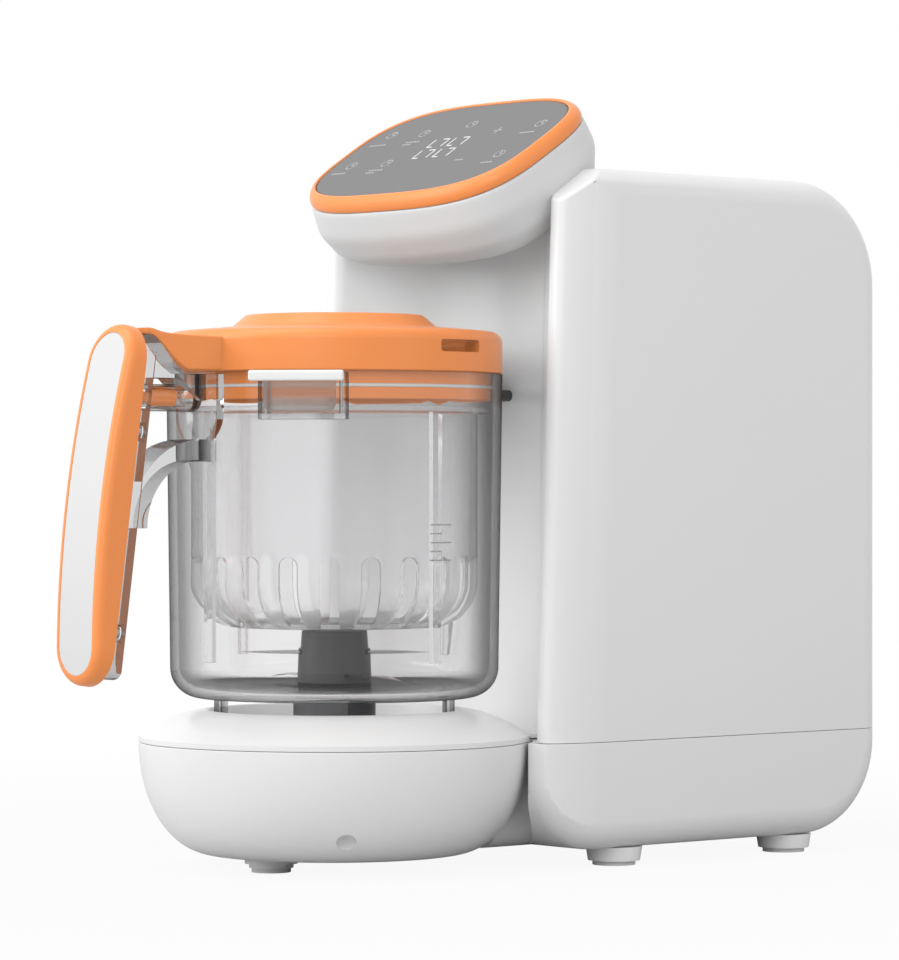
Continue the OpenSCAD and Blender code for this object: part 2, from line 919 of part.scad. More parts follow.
// Motor can with a mounting flange, cooling ribs, room for the rotor and a bore for the shaft
module motor_case() {
    rib_count = 24;
    rib = motor_rib;
    rib_short = 12;
    motor_flange_t = 2;
    color("dimgray")
        difference() {
            union() {
                translate([0, 0, motor_low]) cylinder(r = motor_r - rib, h = motor_h);
                translate([0, 0, flange_z]) cylinder(r = grommet_ring + grommet_r, h = motor_flange_t);
                for (i = [0 : rib_count - 1])
                    rotate([0, 0, i * 360 / rib_count])
                        translate([motor_r - 2 * rib, -rib / 2, flange_z + motor_flange_t / 2])
                            cube([2 * rib, rib, motor_h - rib_short]);
            }
            translate([0, 0, motor_low + shaft_seat]) cylinder(r = drive_r + fit, h = far);
            translate([0, 0, rotor_low - air_gap])
                cylinder(r = rotor_r + air_gap, h = rotor_high - rotor_low + 2 * air_gap);
        }
}

module motor_mount() {
    color("gainsboro")
        union() {
            translate([0, 0, bowl_floor]) cylinder(r = grommet_ring + grommet_r + overlap, h = mount_t);
            for (i = [0 : grommet_count - 1])
                rotate([0, 0, grommet_turn + i * 360 / grommet_count])
                    translate([grommet_ring, 0, bowl_floor])
                        cylinder(r = pin_r, h = mount_t + grommet_h - fit);
        }
}

module motor_grommets() {
    color("black")
        for (i = [0 : grommet_count - 1])
            rotate([0, 0, grommet_turn + i * 360 / grommet_count])
                translate([grommet_ring, 0, bowl_floor + mount_t])
                    difference() {
                        cylinder(r = grommet_r, h = grommet_h);
                        translate([0, 0, -overlap]) cylinder(r = pin_r + slip, h = far);
                    }
}

// Switch under the dock that the jug's foot presses
module interlock_switch() {
    box_w = 20;
    box_d = 7;
    box_h = 8;
    top = dock_floor - wall;
    color("black")
        translate([0, switch_y, 0]) {
            translate([-box_w / 2, -box_d / 2, top - box_h]) cube([box_w, box_d, box_h]);
            translate([0, 0, top - tiny]) cylinder(r = plunger_r, h = wall);
        }
}

// Grommet in the tower's back that the mains lead would pass
module cord_gland() {
    tail = 4;
    color("dimgray")
        translate([gland_x, 0, gland_z])
            rotate([-90, 0, 0])
                difference() {
                    translate([0, 0, tower_rear - wall - tail]) cylinder(r = gland_r, h = wall + tail);
                    translate([0, 0, tower_rear - far / 2]) cylinder(r = gland_r - gland_wall, h = far);
                }
}

tower_feet = [for (x = [-foot_x, foot_x], y = [foot_front, foot_rear]) [x, y]];
bowl_foot_r = 9.2;
module feet() {
    taper = 0.8;
    step_in = 1.5;
    step_z = 3;
    color("gainsboro") {
        for (p = tower_feet)
            translate([p[0], p[1], pad_t])
                cylinder(r1 = foot_r - taper, r2 = foot_r, h = tower_bottom - pad_t);
        translate([0, -foot_bowl, 0]) {
            translate([0, 0, step_z]) cylinder(r = bowl_foot_r, h = bowl_bottom - step_z);
            translate([0, 0, pad_t]) cylinder(r = bowl_foot_r - step_in, h = step_z - pad_t + tiny);
        }
    }
}

module foot_pads() {
    inset = 2.4;
    color("gray") {
        for (p = tower_feet)
            translate([p[0], p[1], 0]) cylinder(r = foot_r - inset, h = pad_t);
        translate([0, -foot_bowl, 0]) cylinder(r = bowl_foot_r - inset, h = pad_t);
    }
}

module base_screws() {
    head_z0 = tower_bottom + 1;
    head_h = 2;
    color(steel)
        for (p = posts)
            translate([p[0], p[1], head_z0]) {
                cylinder(r = screw_head_r, h = head_h);
                cylinder(r = screw_r - screw_play, h = shell_bottom + screw_bite - head_z0);
            }
}

plate_h = 3;
coupling_low = dock_floor - plate_h;
tooth_top = jug_bottom - 2.4;
core_r = 7;
tooth_r = 10.4;
tooth_w = 4;
tooth_gap = 0.45;

module motor_shaft() {
    color(steel)
        translate([0, 0, motor_low + shaft_seat + fit])
            cylinder(r = drive_r, h = coupling_low - motor_low - shaft_seat - fit);
}

// Iron rotor on the motor's shaft, with slots for its winding
module motor_rotor() {
    slot_n = 8;
    slot_width = 2.4;
    slot_depth = 5;
    color("dimgray")
        translate([0, 0, rotor_low])
            difference() {
                cylinder(r = rotor_r, h = rotor_high - rotor_low);
                translate([0, 0, -overlap]) cylinder(r = drive_r + tiny, h = far);
                for (i = [0 : slot_n - 1])
                    rotate([0, 0, i * 360 / slot_n])
                        translate([rotor_r - slot_depth, -slot_width / 2, -overlap])
                            cube([far, slot_width, far]);
            }
}

// Star of the coupling, grown by a gap for the socket that takes it
module coupling_star(grow, height) {
    cylinder(r = core_r + grow, h = height);
    for (i = [0 : tooth_count - 1])
        rotate([0, 0, i * 360 / tooth_count])
            translate([0, -tooth_w / 2 - grow, 0]) cube([tooth_r + grow, tooth_w + 2 * grow, height]);
}

module drive_coupling() {
    plate_r = 14;
    color(dark) {
        translate([0, 0, coupling_low]) cylinder(r = plate_r, h = plate_h);
        translate([0, 0, coupling_low + plate_h - tiny])
            coupling_star(0, tooth_top - coupling_low - plate_h);
    }
}

// Half section of the jug; inset shrinks it for the inside
module jug_section(inset, top) {
    soft_x = jug_foot_r - jug_corner_r;
    soft_z = jug_bottom + jug_corner_r;
    polygon([[0, jug_bottom + inset], [soft_x, jug_bottom + inset], [soft_x, soft_z], [0, soft_z]]);
    polygon([[0, soft_z], [jug_foot_r - inset, soft_z], [jug_r - inset, top], [0, top]]);
    translate([soft_x, soft_z]) circle(jug_corner_r - inset);
}

bush_r = 8;
lug_r = dock_r - 2;
pad_w = 23;
arm_drop = 0.8;
arm_top = jug_top - arm_drop;
boss_z = jug_top - 9;
boss_r = 4.6;
peg_r = 2.9;
rib_low = jug_floor + jug_corner_r;
rib_top = basket_top - flange_t;
spout_drop = 0.6;
spout_wall = 2;
lug_turn = 45;
lug_wall = 2.4;
lug_w = 18;
steam_side = 3;
steam_gap = 2;

// Side view of the lid's tail: shares of its span, and heights above the lid's foot
tail_root = jug_r + 11.3;
tail_tip = handle_reach - 24.6;
tail_curve = [[0, 0.2], [0.27, 3.6], [0.58, 9.6], [0.79, 13], [1, 14.4]];
tail_tip_h = 16;
tail_back = 6;
function tail_under(lower) = [for (p = tail_curve)
    [-tail_root - p[0] * (tail_tip - tail_root), lid_bottom + p[1] - lower]];

// Handle frame: Y = 0 is the outer face at half height, Z runs up along the handle
handle_mid_y = handle_reach - handle_bow_r * (1 - cos(handle_slant));
handle_mid_z = 128;
module handle_frame() {
    translate([0, -handle_mid_y, handle_mid_z]) rotate([-handle_slant, 0, 0]) children();
}
end_z = handle_len / 2 - handle_w / 2;
end_turn = asin(end_z / handle_bow_r);
cover_back = handle_bow_r * (1 - cos(end_turn)) + handle_t * cos(end_turn) + handle_w / 2 * sin(end_turn);
core_front = cover_back + fit;
core_back = core_front + core_t;
lower_screw_in = 6.5;
upper_screw_in = 22.5;
handle_screw_z = [lower_screw_in - end_z, end_z - upper_screw_in];
handle_screw_r = 1.4;
handle_head_r = 3;
handle_head_t = 1.8;
head_seat = 2;
inlay_sink = 0.2;

// Round puck that lies in the bowed face at a height along the handle
module bowed_puck(height, radius, depth, thick, soft) {
    turn = asin(height / handle_bow_r);
    translate([0, handle_bow_r, 0])
        rotate([-turn, 0, 0])
            translate([0, -handle_bow_r + depth, 0])
                rotate([-90, 0, 0])
                    rotate_extrude($fn = 28) {
                        translate([0, soft]) square([radius, thick - soft]);
                        square([radius - soft, thick]);
                        translate([radius - soft, soft]) circle(soft, $fn = 24);
                    }
}

// Bar with round ends along the bowed face
module bowed_bar(width, depth, thick, soft) {
    stations = 4;
    hull()
        for (i = [0 : stations - 1])
            bowed_puck((2 * i / (stations - 1) - 1) * end_z, width / 2, depth, thick, soft);
}

// Clear handle core: the strip behind the cover, the arm under the lid's tail and the strut
module handle_core() {
    low_inset = 3;
    high_inset = 8;
    strip_low = -handle_len / 2 + low_inset;
    strip_high = handle_len / 2 - high_inset;
    arm_step = 0.8;
    handle_frame()
        side_prism(core_w) {
            translate([core_front, strip_low + core_t / 2])
                square([core_t, strip_high - strip_low - core_t / 2]);
            translate([core_front + core_t / 2, strip_low + core_t / 2]) circle(core_t / 2);
        }
    // The arm is a little narrower than the strip that it runs into
    side_prism(core_w - 2 * arm_step) {
        arm_profile();
        strut_profile();
    }
}

// Upper arm, stepped down below the tail's underside
module arm_profile() {
    inner = -jug_inner_r - overlap;
    outer = -handle_mid_y + core_front + core_t + overlap;
    under_tail = 1.3;
    root_h = 9;
    arm_h = 1.6;
    root_out = 5;
    concave_out = 13;
    upper = tail_under(under_tail);
    polygon(concat([[inner, arm_top - root_h], [inner, arm_top]],
        [for (i = [0 : len(upper) - 2]) upper[i]],
        [[outer, upper[len(upper) - 2][1]], [outer, arm_top - arm_h],
            [-jug_r - concave_out, arm_top - arm_h], [-jug_r - root_out, arm_top - root_h]]));
}

// Curved strut from the foot of the pad to the strip
module strut_profile() {
    reach = 30;
    thick = 7;
    centre_y = -jug_r - 4.3;
    centre_z = jug_top - 53;
    intersection() {
        difference() {
            translate([centre_y, centre_z]) circle(reach);
            translate([centre_y, centre_z]) circle(reach - thick);
        }
        translate([centre_y - reach - overlap, centre_z])
            square([reach + overlap + (-jug_inner_r - overlap - centre_y), reach + overlap]);
    }
}

// Clear jug with spout, inner ribs, dock lugs, pad, handle core and steam inlet
module jug() {
    color(clear)
        difference() {
            union() {
                difference() {
                    union() {
                        rotate_extrude($fn = 128) jug_section(0, jug_top);
                        spout_block(0, jug_top - spout_h, jug_top - spout_drop);
                        pad_block();
                        handle_core();
                        translate([0, -jug_inner_r, boss_z])
                            rotate([90, 0, 0])
                                cylinder(r = boss_r, h = handle_mid_y - core_back - jug_inner_r);
                    }
                    rotate_extrude($fn = 128) jug_section(jug_wall, jug_top + overlap);
                    spout_block(spout_wall, jug_top - spout_h + spout_wall, jug_top + overlap);
                }
                // Ribs that carry the basket's flange
                for (i = [0 : 3])
                    rotate([0, 0, 90 * i])
                        intersection() {
                            translate([jug_foot_r - jug_wall - rib_depth, -rib_w / 2, rib_low])
                                cube([2 * rib_depth + jug_draft, rib_w, rib_top - rib_low]);
                            rotate_extrude($fn = 128) jug_section(jug_wall / 2, jug_top);
                        }
                // Lugs that stand in the dock
                for (i = [0 : lug_count - 1])
                    rotate([0, 0, lug_turn + i * 360 / lug_count])
                        intersection() {
                            translate([0, 0, dock_floor + slip])
                                difference() {
                                    cylinder(r = lug_r, h = jug_bottom - dock_floor + overlap, $fn = 128);
                                    translate([0, 0, -overlap])
                                        cylinder(r = lug_r - lug_wall, h = far, $fn = 128);
                                }
                            translate([0, -lug_w / 2, 0]) cube([far, lug_w, far]);
                        }
            }
            translate([0, 0, jug_bottom - overlap])
                cylinder(r = bush_r + fit / 2, h = jug_wall + 2 * overlap);
            // Steam inlet in the rim, facing the nozzle
            translate([-nozzle_w / 2 + steam_side, 0, nozzle_z - steam_gap / 2])
                cube([nozzle_w - 2 * steam_side, far, steam_gap]);
            // Bore for the cover's peg
            translate([0, -jug_r - 2 * jug_wall, boss_z])
                rotate([90, 0, 0]) cylinder(r = peg_r + fit, h = far);
            for (z = handle_screw_z)
                handle_frame()
                    translate([0, core_front - overlap, z])
                        rotate([-90, 0, 0]) {
                            cylinder(r = handle_screw_r + fit, h = 3 * core_t);
                            translate([0, 0, core_t - head_seat + overlap])
                                cylinder(r = handle_head_r + slip, h = core_t);
                        }
        }
}

// Spout pocket on the rim; inset makes its hollow
module spout_block(inset, low, high) {
    soft = 4;
    half = spout_w / 2 - inset;
    back = jug_inner_r - soft;
    toward(spout_angle)
        translate([0, 0, low])
            linear_extrude(high - low) {
                translate([back, -half]) square([spout_reach - inset - soft - back, 2 * half]);
                translate([back, -half + soft]) square([spout_reach - inset - back, 2 * (half - soft)]);
                for (side = [-1, 1])
                    translate([spout_reach - inset - soft, side * (half - soft)]) circle(soft);
            }
}

// Pad on the jug's wall that the handle's arm, boss and strut grow from
module pad_block() {
    pad_out = 3;
    pad_low = 147;
    intersection() {
        cylinder(r = jug_r + pad_out, h = far);
        translate([0, -jug_inner_r, 0])
            rotate([90, 0, 0])
                linear_extrude(far) {
                    translate([0, pad_low + pad_w / 2]) circle(pad_w / 2);
                    translate([-pad_w / 2, pad_low + pad_w / 2])
                        square([pad_w, arm_top - pad_low - pad_w / 2]);
                }
    }
}

// Pale lip that caps the front of the spout
module spout_lip() {
    lip_h = 3.6;
    lip_out = 1.6;
    over = 2.5;
    color("white")
        toward(spout_angle)
            translate([spout_reach, -spout_w / 2 - over, jug_top - lip_h])
                cube([lip_out, spout_w + over, lip_h]);
}

// Orange frame of the handle with its peg
module handle_cover() {
    soft = 3;
    peg_root = 2;
    peg_short = 12;
    screw_floor = 3;
    color(orange)
        difference() {
            union() {
                handle_frame() bowed_bar(handle_w, 0, handle_t, soft);
                translate([0, -handle_mid_y + cover_back + peg_root, boss_z])
                    rotate([-90, 0, 0])
                        cylinder(r = peg_r, h = handle_mid_y - cover_back - peg_root - jug_r - peg_short);
            }
            handle_frame() bowed_bar_at(inlay_w + fit, -overlap, inlay_t + overlap + inlay_sink);
            for (z = handle_screw_z)
                handle_frame()
                    translate([0, inlay_t + screw_floor, z])
                        rotate([-90, 0, 0]) cylinder(r = handle_screw_r + screw_play, h = far);
        }
}

// Thin bar for the inlay and its seat
module bowed_bar_at(width, depth, thick) {
    spans = 3;
    soft = 0.4;
    border = 4.2;
    inlay_end = handle_len / 2 - border - inlay_w / 2;
    for (i = [0 : spans - 1])
        hull()
            for (k = [i, i + 1])
                bowed_puck((2 * k / spans - 1) * inlay_end, width / 2, depth, thick, soft);
}

module handle_inlay() {
    color([0.93, 0.93, 0.92])
        handle_frame() bowed_bar_at(inlay_w, inlay_sink, inlay_t);
}

module handle_screws() {
    tip = inlay_t + 4;
    color(steel)
        for (z = handle_screw_z)
            handle_frame()
                translate([0, tip, z])
                    rotate([-90, 0, 0]) {
                        cylinder(r = handle_screw_r, h = core_back - tip - overlap);
                        translate([0, 0, core_back - head_seat - tip])
                            cylinder(r = handle_head_r, h = handle_head_t);
                    }
}

grille_rim = 3;
floor_h = 10;
floor_top = basket_bottom + floor_h;
basket_seam = 0.1;
grille_top = max(basket_bottom + basket_corner_r, slot_top + grille_rim);

// Half section of the basket; inset shrinks it for the inside
module basket_section(inset, top) {
    soft_x = basket_r - basket_corner_r;
    soft_z = basket_bottom + basket_corner_r;
    intersection() {
        union() {
            translate([0, basket_bottom + inset]) square([soft_x, basket_corner_r]);
            translate([0, soft_z]) square([basket_r - inset, top]);
            translate([soft_x, soft_z]) circle(basket_corner_r - inset);
        }
        square([basket_r, top]);
    }
}

// Upper sleeve of the basket with the flange that hangs on the jug's ribs
module steam_basket() {
    flange_gap = 0.8;
    color(clear)
        difference() {
            union() {
                translate([0, 0, grille_top + basket_seam])
                    cylinder(r = basket_r, h = basket_top - grille_top - basket_seam, $fn = 128);
                translate([0, 0, rib_top])
                    cylinder(r = jug_inner_r - flange_gap, h = flange_t, $fn = 128);
            }
            translate([0, 0, grille_top]) cylinder(r = basket_r - basket_wall, h = far, $fn = 128);
        }
}

// Slotted lower part of the basket between two heights
module basket_band(low, high) {
    intersection() {
        difference() {
            rotate_extrude($fn = 128) basket_section(0, grille_top);
            rotate_extrude($fn = 128) basket_section(basket_wall, grille_top + overlap);
            for (i = [0 : slot_count - 1])
                rotate([0, 0, (i + 0.5) * 360 / slot_count]) basket_slot();
        }
        translate([0, 0, low]) cylinder(r = jug_r, h = high - low);
    }
}

// Slotted ring between the basket's sleeve and its floor
module basket_grille() {
    color(clear) basket_band(floor_top + basket_seam, grille_top + overlap);
}

// Floor of the basket with the feet of the grille's bars and four nubs to stand on
module basket_floor() {
    nub_count = 4;
    nub_turn = 45;
    nub_in = 2;
    nub_r = 1.6;
    nub_h = 0.8;
    color(clear)
        union() {
            basket_band(basket_bottom - overlap, floor_top);
            for (i = [0 : nub_count - 1])
                rotate([0, 0, nub_turn + i * 360 / nub_count])
                    translate([basket_r - basket_corner_r - nub_in, 0, basket_bottom - nub_h])
                        cylinder(r = nub_r, h = nub_h + basket_wall / 2);
        }
}

// One slot, from the basket's bottom corner up to its round top
module basket_slot() {
    start_out = 3;
    start = basket_r - basket_corner_r + start_out;
    straight = slot_top - slot_w / 2;
    translate([start, -slot_w / 2, basket_bottom - overlap])
        cube([basket_r, slot_w, straight - basket_bottom + overlap]);
    translate([start, 0, straight]) rotate([0, 90, 0]) cylinder(r = slot_w / 2, h = basket_r);
}

hub_gap = 0.4;
cavity_h = 6.6;
seal_t = 1;
bush_gap = 0.2;
hub_low = jug_floor + hub_gap;
cavity_top = hub_low + cavity_h;
bush_top = cavity_top - seal_t - hub_gap;

module blade_bush() {
    color("gray")
        difference() {
            translate([0, 0, jug_bottom + bush_gap])
                cylinder(r = bush_r, h = bush_top - jug_bottom - bush_gap);
            cylinder(r = shaft_r + fit, h = far);
        }
}

module shaft_seal() {
    color("black")
        translate([0, 0, bush_top])
            difference() {
                cylinder(r = bush_r - seal_t, h = seal_t);
                translate([0, 0, -overlap]) cylinder(r = shaft_r + fit / 2, h = far);
            }
}

socket_lift = 2.4;
socket_roof = 1.2;
shaft_cover = 3.6;
socket_low = dock_floor + socket_lift;
socket_top = jug_bottom - hub_gap;

module blade_shaft() {
    color(steel)
        translate([0, 0, socket_top - socket_roof])
            cylinder(r = shaft_r, h = hub_low + hub_h - shaft_cover + socket_roof - socket_top);
}

upper_lift = 11.6;
lower_lift = 3.2;
upper_z = hub_low + upper_lift;
lower_z = hub_low + lower_lift;
upper_turn = 49;
lower_turn = 4;

// Hub with a shoulder, a cavity over the bush and seats for the blades
module blade_hub() {
    draft = 0.9;
    shoulder = 13.6;
    step = 0.7;
    color(dark)
        difference() {
            union() {
                translate([0, 0, hub_low]) cylinder(r1 = hub_r, r2 = hub_r - draft / 2, h = shoulder);
                translate([0, 0, hub_low + shoulder - tiny])
                    cylinder(r1 = hub_r - draft / 2 - step, r2 = hub_r - draft - step,
                        h = hub_h - shoulder);
            }
            translate([0, 0, hub_low - overlap])
                cylinder(r = bush_r + overlap, h = cavity_top - hub_low + overlap);
            cylinder(r = shaft_r + tiny, h = hub_low + hub_h - shaft_cover);
            for (seat = [[upper_turn, upper_z], [lower_turn, lower_z]])
                rotate([0, 0, seat[0]])
                    translate([-far / 2, -blade_w / 2 - tiny, seat[1] - tiny])
                        cube([far, blade_w + 2 * tiny, blade_t + 2 * tiny]);
        }
}

// Flat outline of one blade arm, a swept knife edge
module blade_arm(start) {
    tip = 2.5;
    sweep = 1.5;
    front_short = 5;
    back_short = 4;
    half = blade_w / 2;
    polygon([[start, -half], [hub_r, -half], [blade_len - front_short, sweep - half],
        [blade_len, half - tip], [blade_len - back_short, half], [start, half]]);
}

module upper_blade() {
    color(steel)
        rotate([0, 0, upper_turn])
            translate([0, 0, upper_z])
                linear_extrude(blade_t)
                    difference() {
                        for (side = [0, 180])
                            rotate(side) blade_arm(0);
                        circle(shaft_r + 2 * tiny);
                    }
}

module lower_blade() {
    color(steel)
        rotate([0, 0, lower_turn])
            translate([0, 0, lower_z])
                linear_extrude(blade_t)
                    difference() {
                        for (side = [0, 180])
                            rotate(side) blade_arm(0);
                        circle(bush_r + overlap);
                    }
}

// Socket under the jug that takes the drive coupling
module driven_coupling() {
    socket_r = 14.4;
    color(dark)
        difference() {
            translate([0, 0, socket_low]) cylinder(r = socket_r, h = socket_top - socket_low);
            translate([0, 0, socket_low - overlap])
                coupling_star(tooth_gap, socket_top - socket_low - socket_roof + overlap);
            translate([0, 0, socket_top - socket_roof]) cylinder(r = shaft_r + tiny, h = far);
        }
}

skirt_gap = 1;
skirt_r = jug_inner_r - skirt_gap;
seal_r = 0.6;
seal_play = 0.05;
seal_drop = 5;
seal_z = lid_bottom - seal_drop;

// Lid with its raised disc, skirt, vent slot and tail
module lid() {
    disc_slope = 4.8;
    vent_lift = 6.6;
    vent_in = 8;
    shoulder_r = lid_disc_r + disc_slope;
    disc_top = lid_top + lid_disc_h;
    slope = 2;
    color(orange)
        difference() {
            union() {
                rotate_extrude($fn = 128)
                    difference() {
                        union() {
                            translate([0, lid_bottom]) square([jug_r, lid_side_h - lid_edge_r]);
                            translate([0, lid_bottom]) square([jug_r - lid_edge_r, lid_side_h]);
                            translate([jug_r - lid_edge_r, lid_top - lid_edge_r]) circle(lid_edge_r);
                            polygon([[0, lid_top], [jug_r - lid_edge_r, lid_top],
                                [shoulder_r, lid_top + slope], [lid_disc_r, disc_top], [0, disc_top]]);
                            translate([0, lid_bottom - lid_skirt_h]) square([skirt_r, lid_skirt_h + tiny]);
                        }
                        translate([0, lid_bottom - lid_skirt_h - overlap])
                            square([skirt_r - lid_wall, lid_side_h - lid_wall + lid_skirt_h + overlap]);
                        translate([0, lid_bottom])
                            square([lid_disc_r - lid_wall, disc_top - lid_wall - lid_bottom]);
                        translate([skirt_r, seal_z]) circle(seal_r + seal_play);
                    }
                lid_tail();
            }
            // Vent slot through the lid's side
            toward(vent_angle)
                translate([jug_inner_r - vent_in, -vent_w / 2, lid_bottom + vent_lift])
                    cube([far, vent_w, vent_h]);
            // Steam passage in the skirt, facing the nozzle
            translate([-nozzle_w / 2 + steam_side, 0, nozzle_z - steam_gap / 2])
                cube([nozzle_w - 2 * steam_side, jug_r, steam_gap]);
        }
}

// Tail that thins out towards the handle's top
module lid_tail() {
    low = lid_bottom;
    side_prism(tail_w)
        polygon(concat([[-jug_inner_r, low + overlap]], tail_under(0),
            [[-tail_tip, low + tail_tip_h], [-tail_root - tail_back, low + lid_side_h],
                [-jug_inner_r, low + lid_side_h]]));
}

module lid_seal() {
    color("dimgray")
        rotate_extrude($fn = 128) translate([skirt_r, seal_z]) circle(seal_r);
}

cap_h = 9;
cap_gap = 0.1;
tank_top = tank_bottom + tank_h;
tank_soft = 6;

// Plan of the tank with rounded upright edges
module tank_plan(inset) {
    half = tank_w / 2 - inset;
    soft = tank_soft - inset;
    translate([-half + soft, tank_front + inset]) square([2 * (half - soft), tank_d - 2 * inset]);
    translate([-half, tank_front + inset + soft]) square([2 * half, tank_d - 2 * (inset + soft)]);
    for (x = [-half + soft, half - soft], y = [tank_front + inset + soft, tower_rear - inset - soft])
        translate([x, y]) circle(soft);
}

// Finger pocket in the tank's rear face
module tank_pocket(grow) {
    pocket_w = 50;
    pocket_d = 12;
    pocket_share = 0.59;
    pocket_z = tank_bottom + tank_h * pocket_share;
    translate([0, tower_rear, pocket_z])
        rotate([0, 90, 0]) cylinder(r = pocket_d + grow, h = pocket_w + 2 * grow, center = true);
}

module water_tank() {
    color([0.7, 0.72, 0.75, 0.6])
        difference() {
            translate([0, 0, tank_bottom]) linear_extrude(tank_h - cap_h) tank_plan(0);
            difference() {
                translate([0, 0, tank_bottom + tank_wall]) linear_extrude(tank_h) tank_plan(tank_wall);
                tank_pocket(tank_wall);
            }
            tank_pocket(0);
        }
}

module tank_cap() {
    lip = 5;
    color(white)
        difference() {
            union() {
                translate([0, 0, tank_top - cap_h + cap_gap]) linear_extrude(cap_h - cap_gap) tank_plan(0);
                translate([0, 0, tank_top - cap_h - lip])
                    linear_extrude(lip + overlap) tank_plan(tank_wall + fit);
            }
            translate([0, 0, tank_top - cap_h - lip - overlap])
                linear_extrude(lip + overlap + cap_h - tank_wall) tank_plan(2 * tank_wall);
        }
}

spigot_len = 9;
spigot_wall = 2.4;
groove_in = 0.2;
module tank_spigot() {
    color(dark)
        translate([port_x, tank_front - spigot_len, port_z])
            rotate([-90, 0, 0])
                difference() {
                    cylinder(r = spigot_r, h = spigot_len);
                    translate([0, 0, spigot_len / 2])
                        rotate_extrude() translate([spigot_r - groove_in, 0]) circle(seal_r + seal_play);
                    translate([0, 0, -overlap]) cylinder(r = spigot_r - spigot_wall, h = far);
                }
}

module tank_seal() {
    color("black")
        translate([port_x, tank_front - spigot_len / 2, port_z])
            rotate([-90, 0, 0]) rotate_extrude() translate([spigot_r - groove_in, 0]) circle(seal_r);
}

place() tower_shell();
place() base_tray();
place() dock_cover();
place() head_shell();
place() bezel_ring();
place() touch_panel();
place() digit_display();
place() display_board();
place() steam_nozzle();
place() nozzle_gasket();
place() steam_hose();
place() boiler();
place() boiler_bracket();
place() thermostat();
place() water_pump();
place() pump_mount();
place() feed_hose();
place() boiler_hose();
place() tank_port();
place() power_board();
place() board_components();
place() motor_case();
place() motor_mount();
place() motor_grommets();
place() interlock_switch();
place() cord_gland();
place() feet();
place() foot_pads();
place() base_screws();
place() motor_shaft();
place() motor_rotor();
place() drive_coupling();
place() jug();
place() spout_lip();
place() handle_cover();
place() handle_inlay();
place() handle_screws();
place() steam_basket();
place() basket_grille();
place() basket_floor();
place() blade_bush();
place() shaft_seal();
place() blade_shaft();
place() blade_hub();
place() upper_blade();
place() lower_blade();
place() driven_coupling();
place() lid();
place() lid_seal();
place() water_tank();
place() tank_cap();
place() tank_spigot();
place() tank_seal();
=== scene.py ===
# %% [markdown]
# # A baby food steamer, dressed for its portrait
#
# The machine is a white tower with a tilted control head. A clear jug with an orange lid stands
# on its motor base. The engineering model already has every piece at its true size and place, so
# this lesson loads it as a fixed frame, keeps what looks right and gives it a finish, and models
# afresh the moulded housings whose soft edges catch the light.

# %% Load the frame
import json
import math

import bmesh
import bpy
from bmesh.types import BMEdge, BMVert
from mathutils import Matrix, Vector


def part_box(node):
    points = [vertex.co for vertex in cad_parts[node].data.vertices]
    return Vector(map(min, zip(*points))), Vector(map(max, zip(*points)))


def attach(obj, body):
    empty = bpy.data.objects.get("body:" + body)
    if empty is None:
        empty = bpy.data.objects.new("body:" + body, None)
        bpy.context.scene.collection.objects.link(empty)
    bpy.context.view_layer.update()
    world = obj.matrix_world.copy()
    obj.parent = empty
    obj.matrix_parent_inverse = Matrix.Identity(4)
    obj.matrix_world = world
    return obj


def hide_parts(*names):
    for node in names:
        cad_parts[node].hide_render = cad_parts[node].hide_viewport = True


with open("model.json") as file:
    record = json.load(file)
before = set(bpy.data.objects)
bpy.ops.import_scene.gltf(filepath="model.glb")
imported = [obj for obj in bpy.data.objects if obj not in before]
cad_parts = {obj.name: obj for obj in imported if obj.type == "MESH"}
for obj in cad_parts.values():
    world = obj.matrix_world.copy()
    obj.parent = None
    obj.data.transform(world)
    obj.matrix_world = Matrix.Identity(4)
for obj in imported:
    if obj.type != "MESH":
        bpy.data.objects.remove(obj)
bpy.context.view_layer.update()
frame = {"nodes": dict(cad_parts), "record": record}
nodes = frame["nodes"]
scene = bpy.context.scene
MM = 0.001


def middle(node):
    """Centre of a node's box, in metres."""
    low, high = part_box(node)
    return (low + high) / 2


JUG_AXIS = middle("lid_seal")
print("nodes:", len(nodes), "jug axis at y =", round(JUG_AXIS.y / MM, 1), "mm")

# %% [markdown]
# ## Camera
#
# The portrait was taken level, from the handle's right, with a long lens. The turn, the distance
# and the lens were found by lining up the tower's top edge, its seam and its feet. A small upward
# shift sets the horizon without tilting the camera, so that upright edges stay upright.

# %% Place the camera
PORTRAIT_HEIGHT_PX = 960
FOCAL_PX = 4290
HORIZON_BELOW_CENTRE_PX = 1.5
CAMERA_TURN = math.radians(49.54)
CAMERA_DISTANCE = 1.499
CAMERA_HEIGHT = 0.1347
CAMERA_ASIDE = 0.0402
SENSOR_MM = 36

to_right = Vector((math.cos(CAMERA_TURN), math.sin(CAMERA_TURN), 0))
view_line = Vector((-math.sin(CAMERA_TURN), math.cos(CAMERA_TURN), 0))
camera_data = bpy.data.cameras.new("portrait")
camera_data.sensor_width = SENSOR_MM
camera_data.lens = SENSOR_MM * FOCAL_PX / PORTRAIT_HEIGHT_PX
camera_data.shift_y = HORIZON_BELOW_CENTRE_PX / PORTRAIT_HEIGHT_PX
camera = bpy.data.objects.new("portrait", camera_data)
camera.location = to_right * CAMERA_ASIDE - view_line * CAMERA_DISTANCE
camera.location += Vector((JUG_AXIS.x, JUG_AXIS.y, CAMERA_HEIGHT))
camera.rotation_euler = (math.pi / 2, 0, CAMERA_TURN)
scene.collection.objects.link(camera)
scene.camera = camera
print("lens", round(camera_data.lens, 1), "mm")

# %% [markdown]
# ## Light and background
#
# A product portrait on white has broad soft light. A large lamp stands on the camera's left, one
# by the camera, a weak one on its right and one overhead.

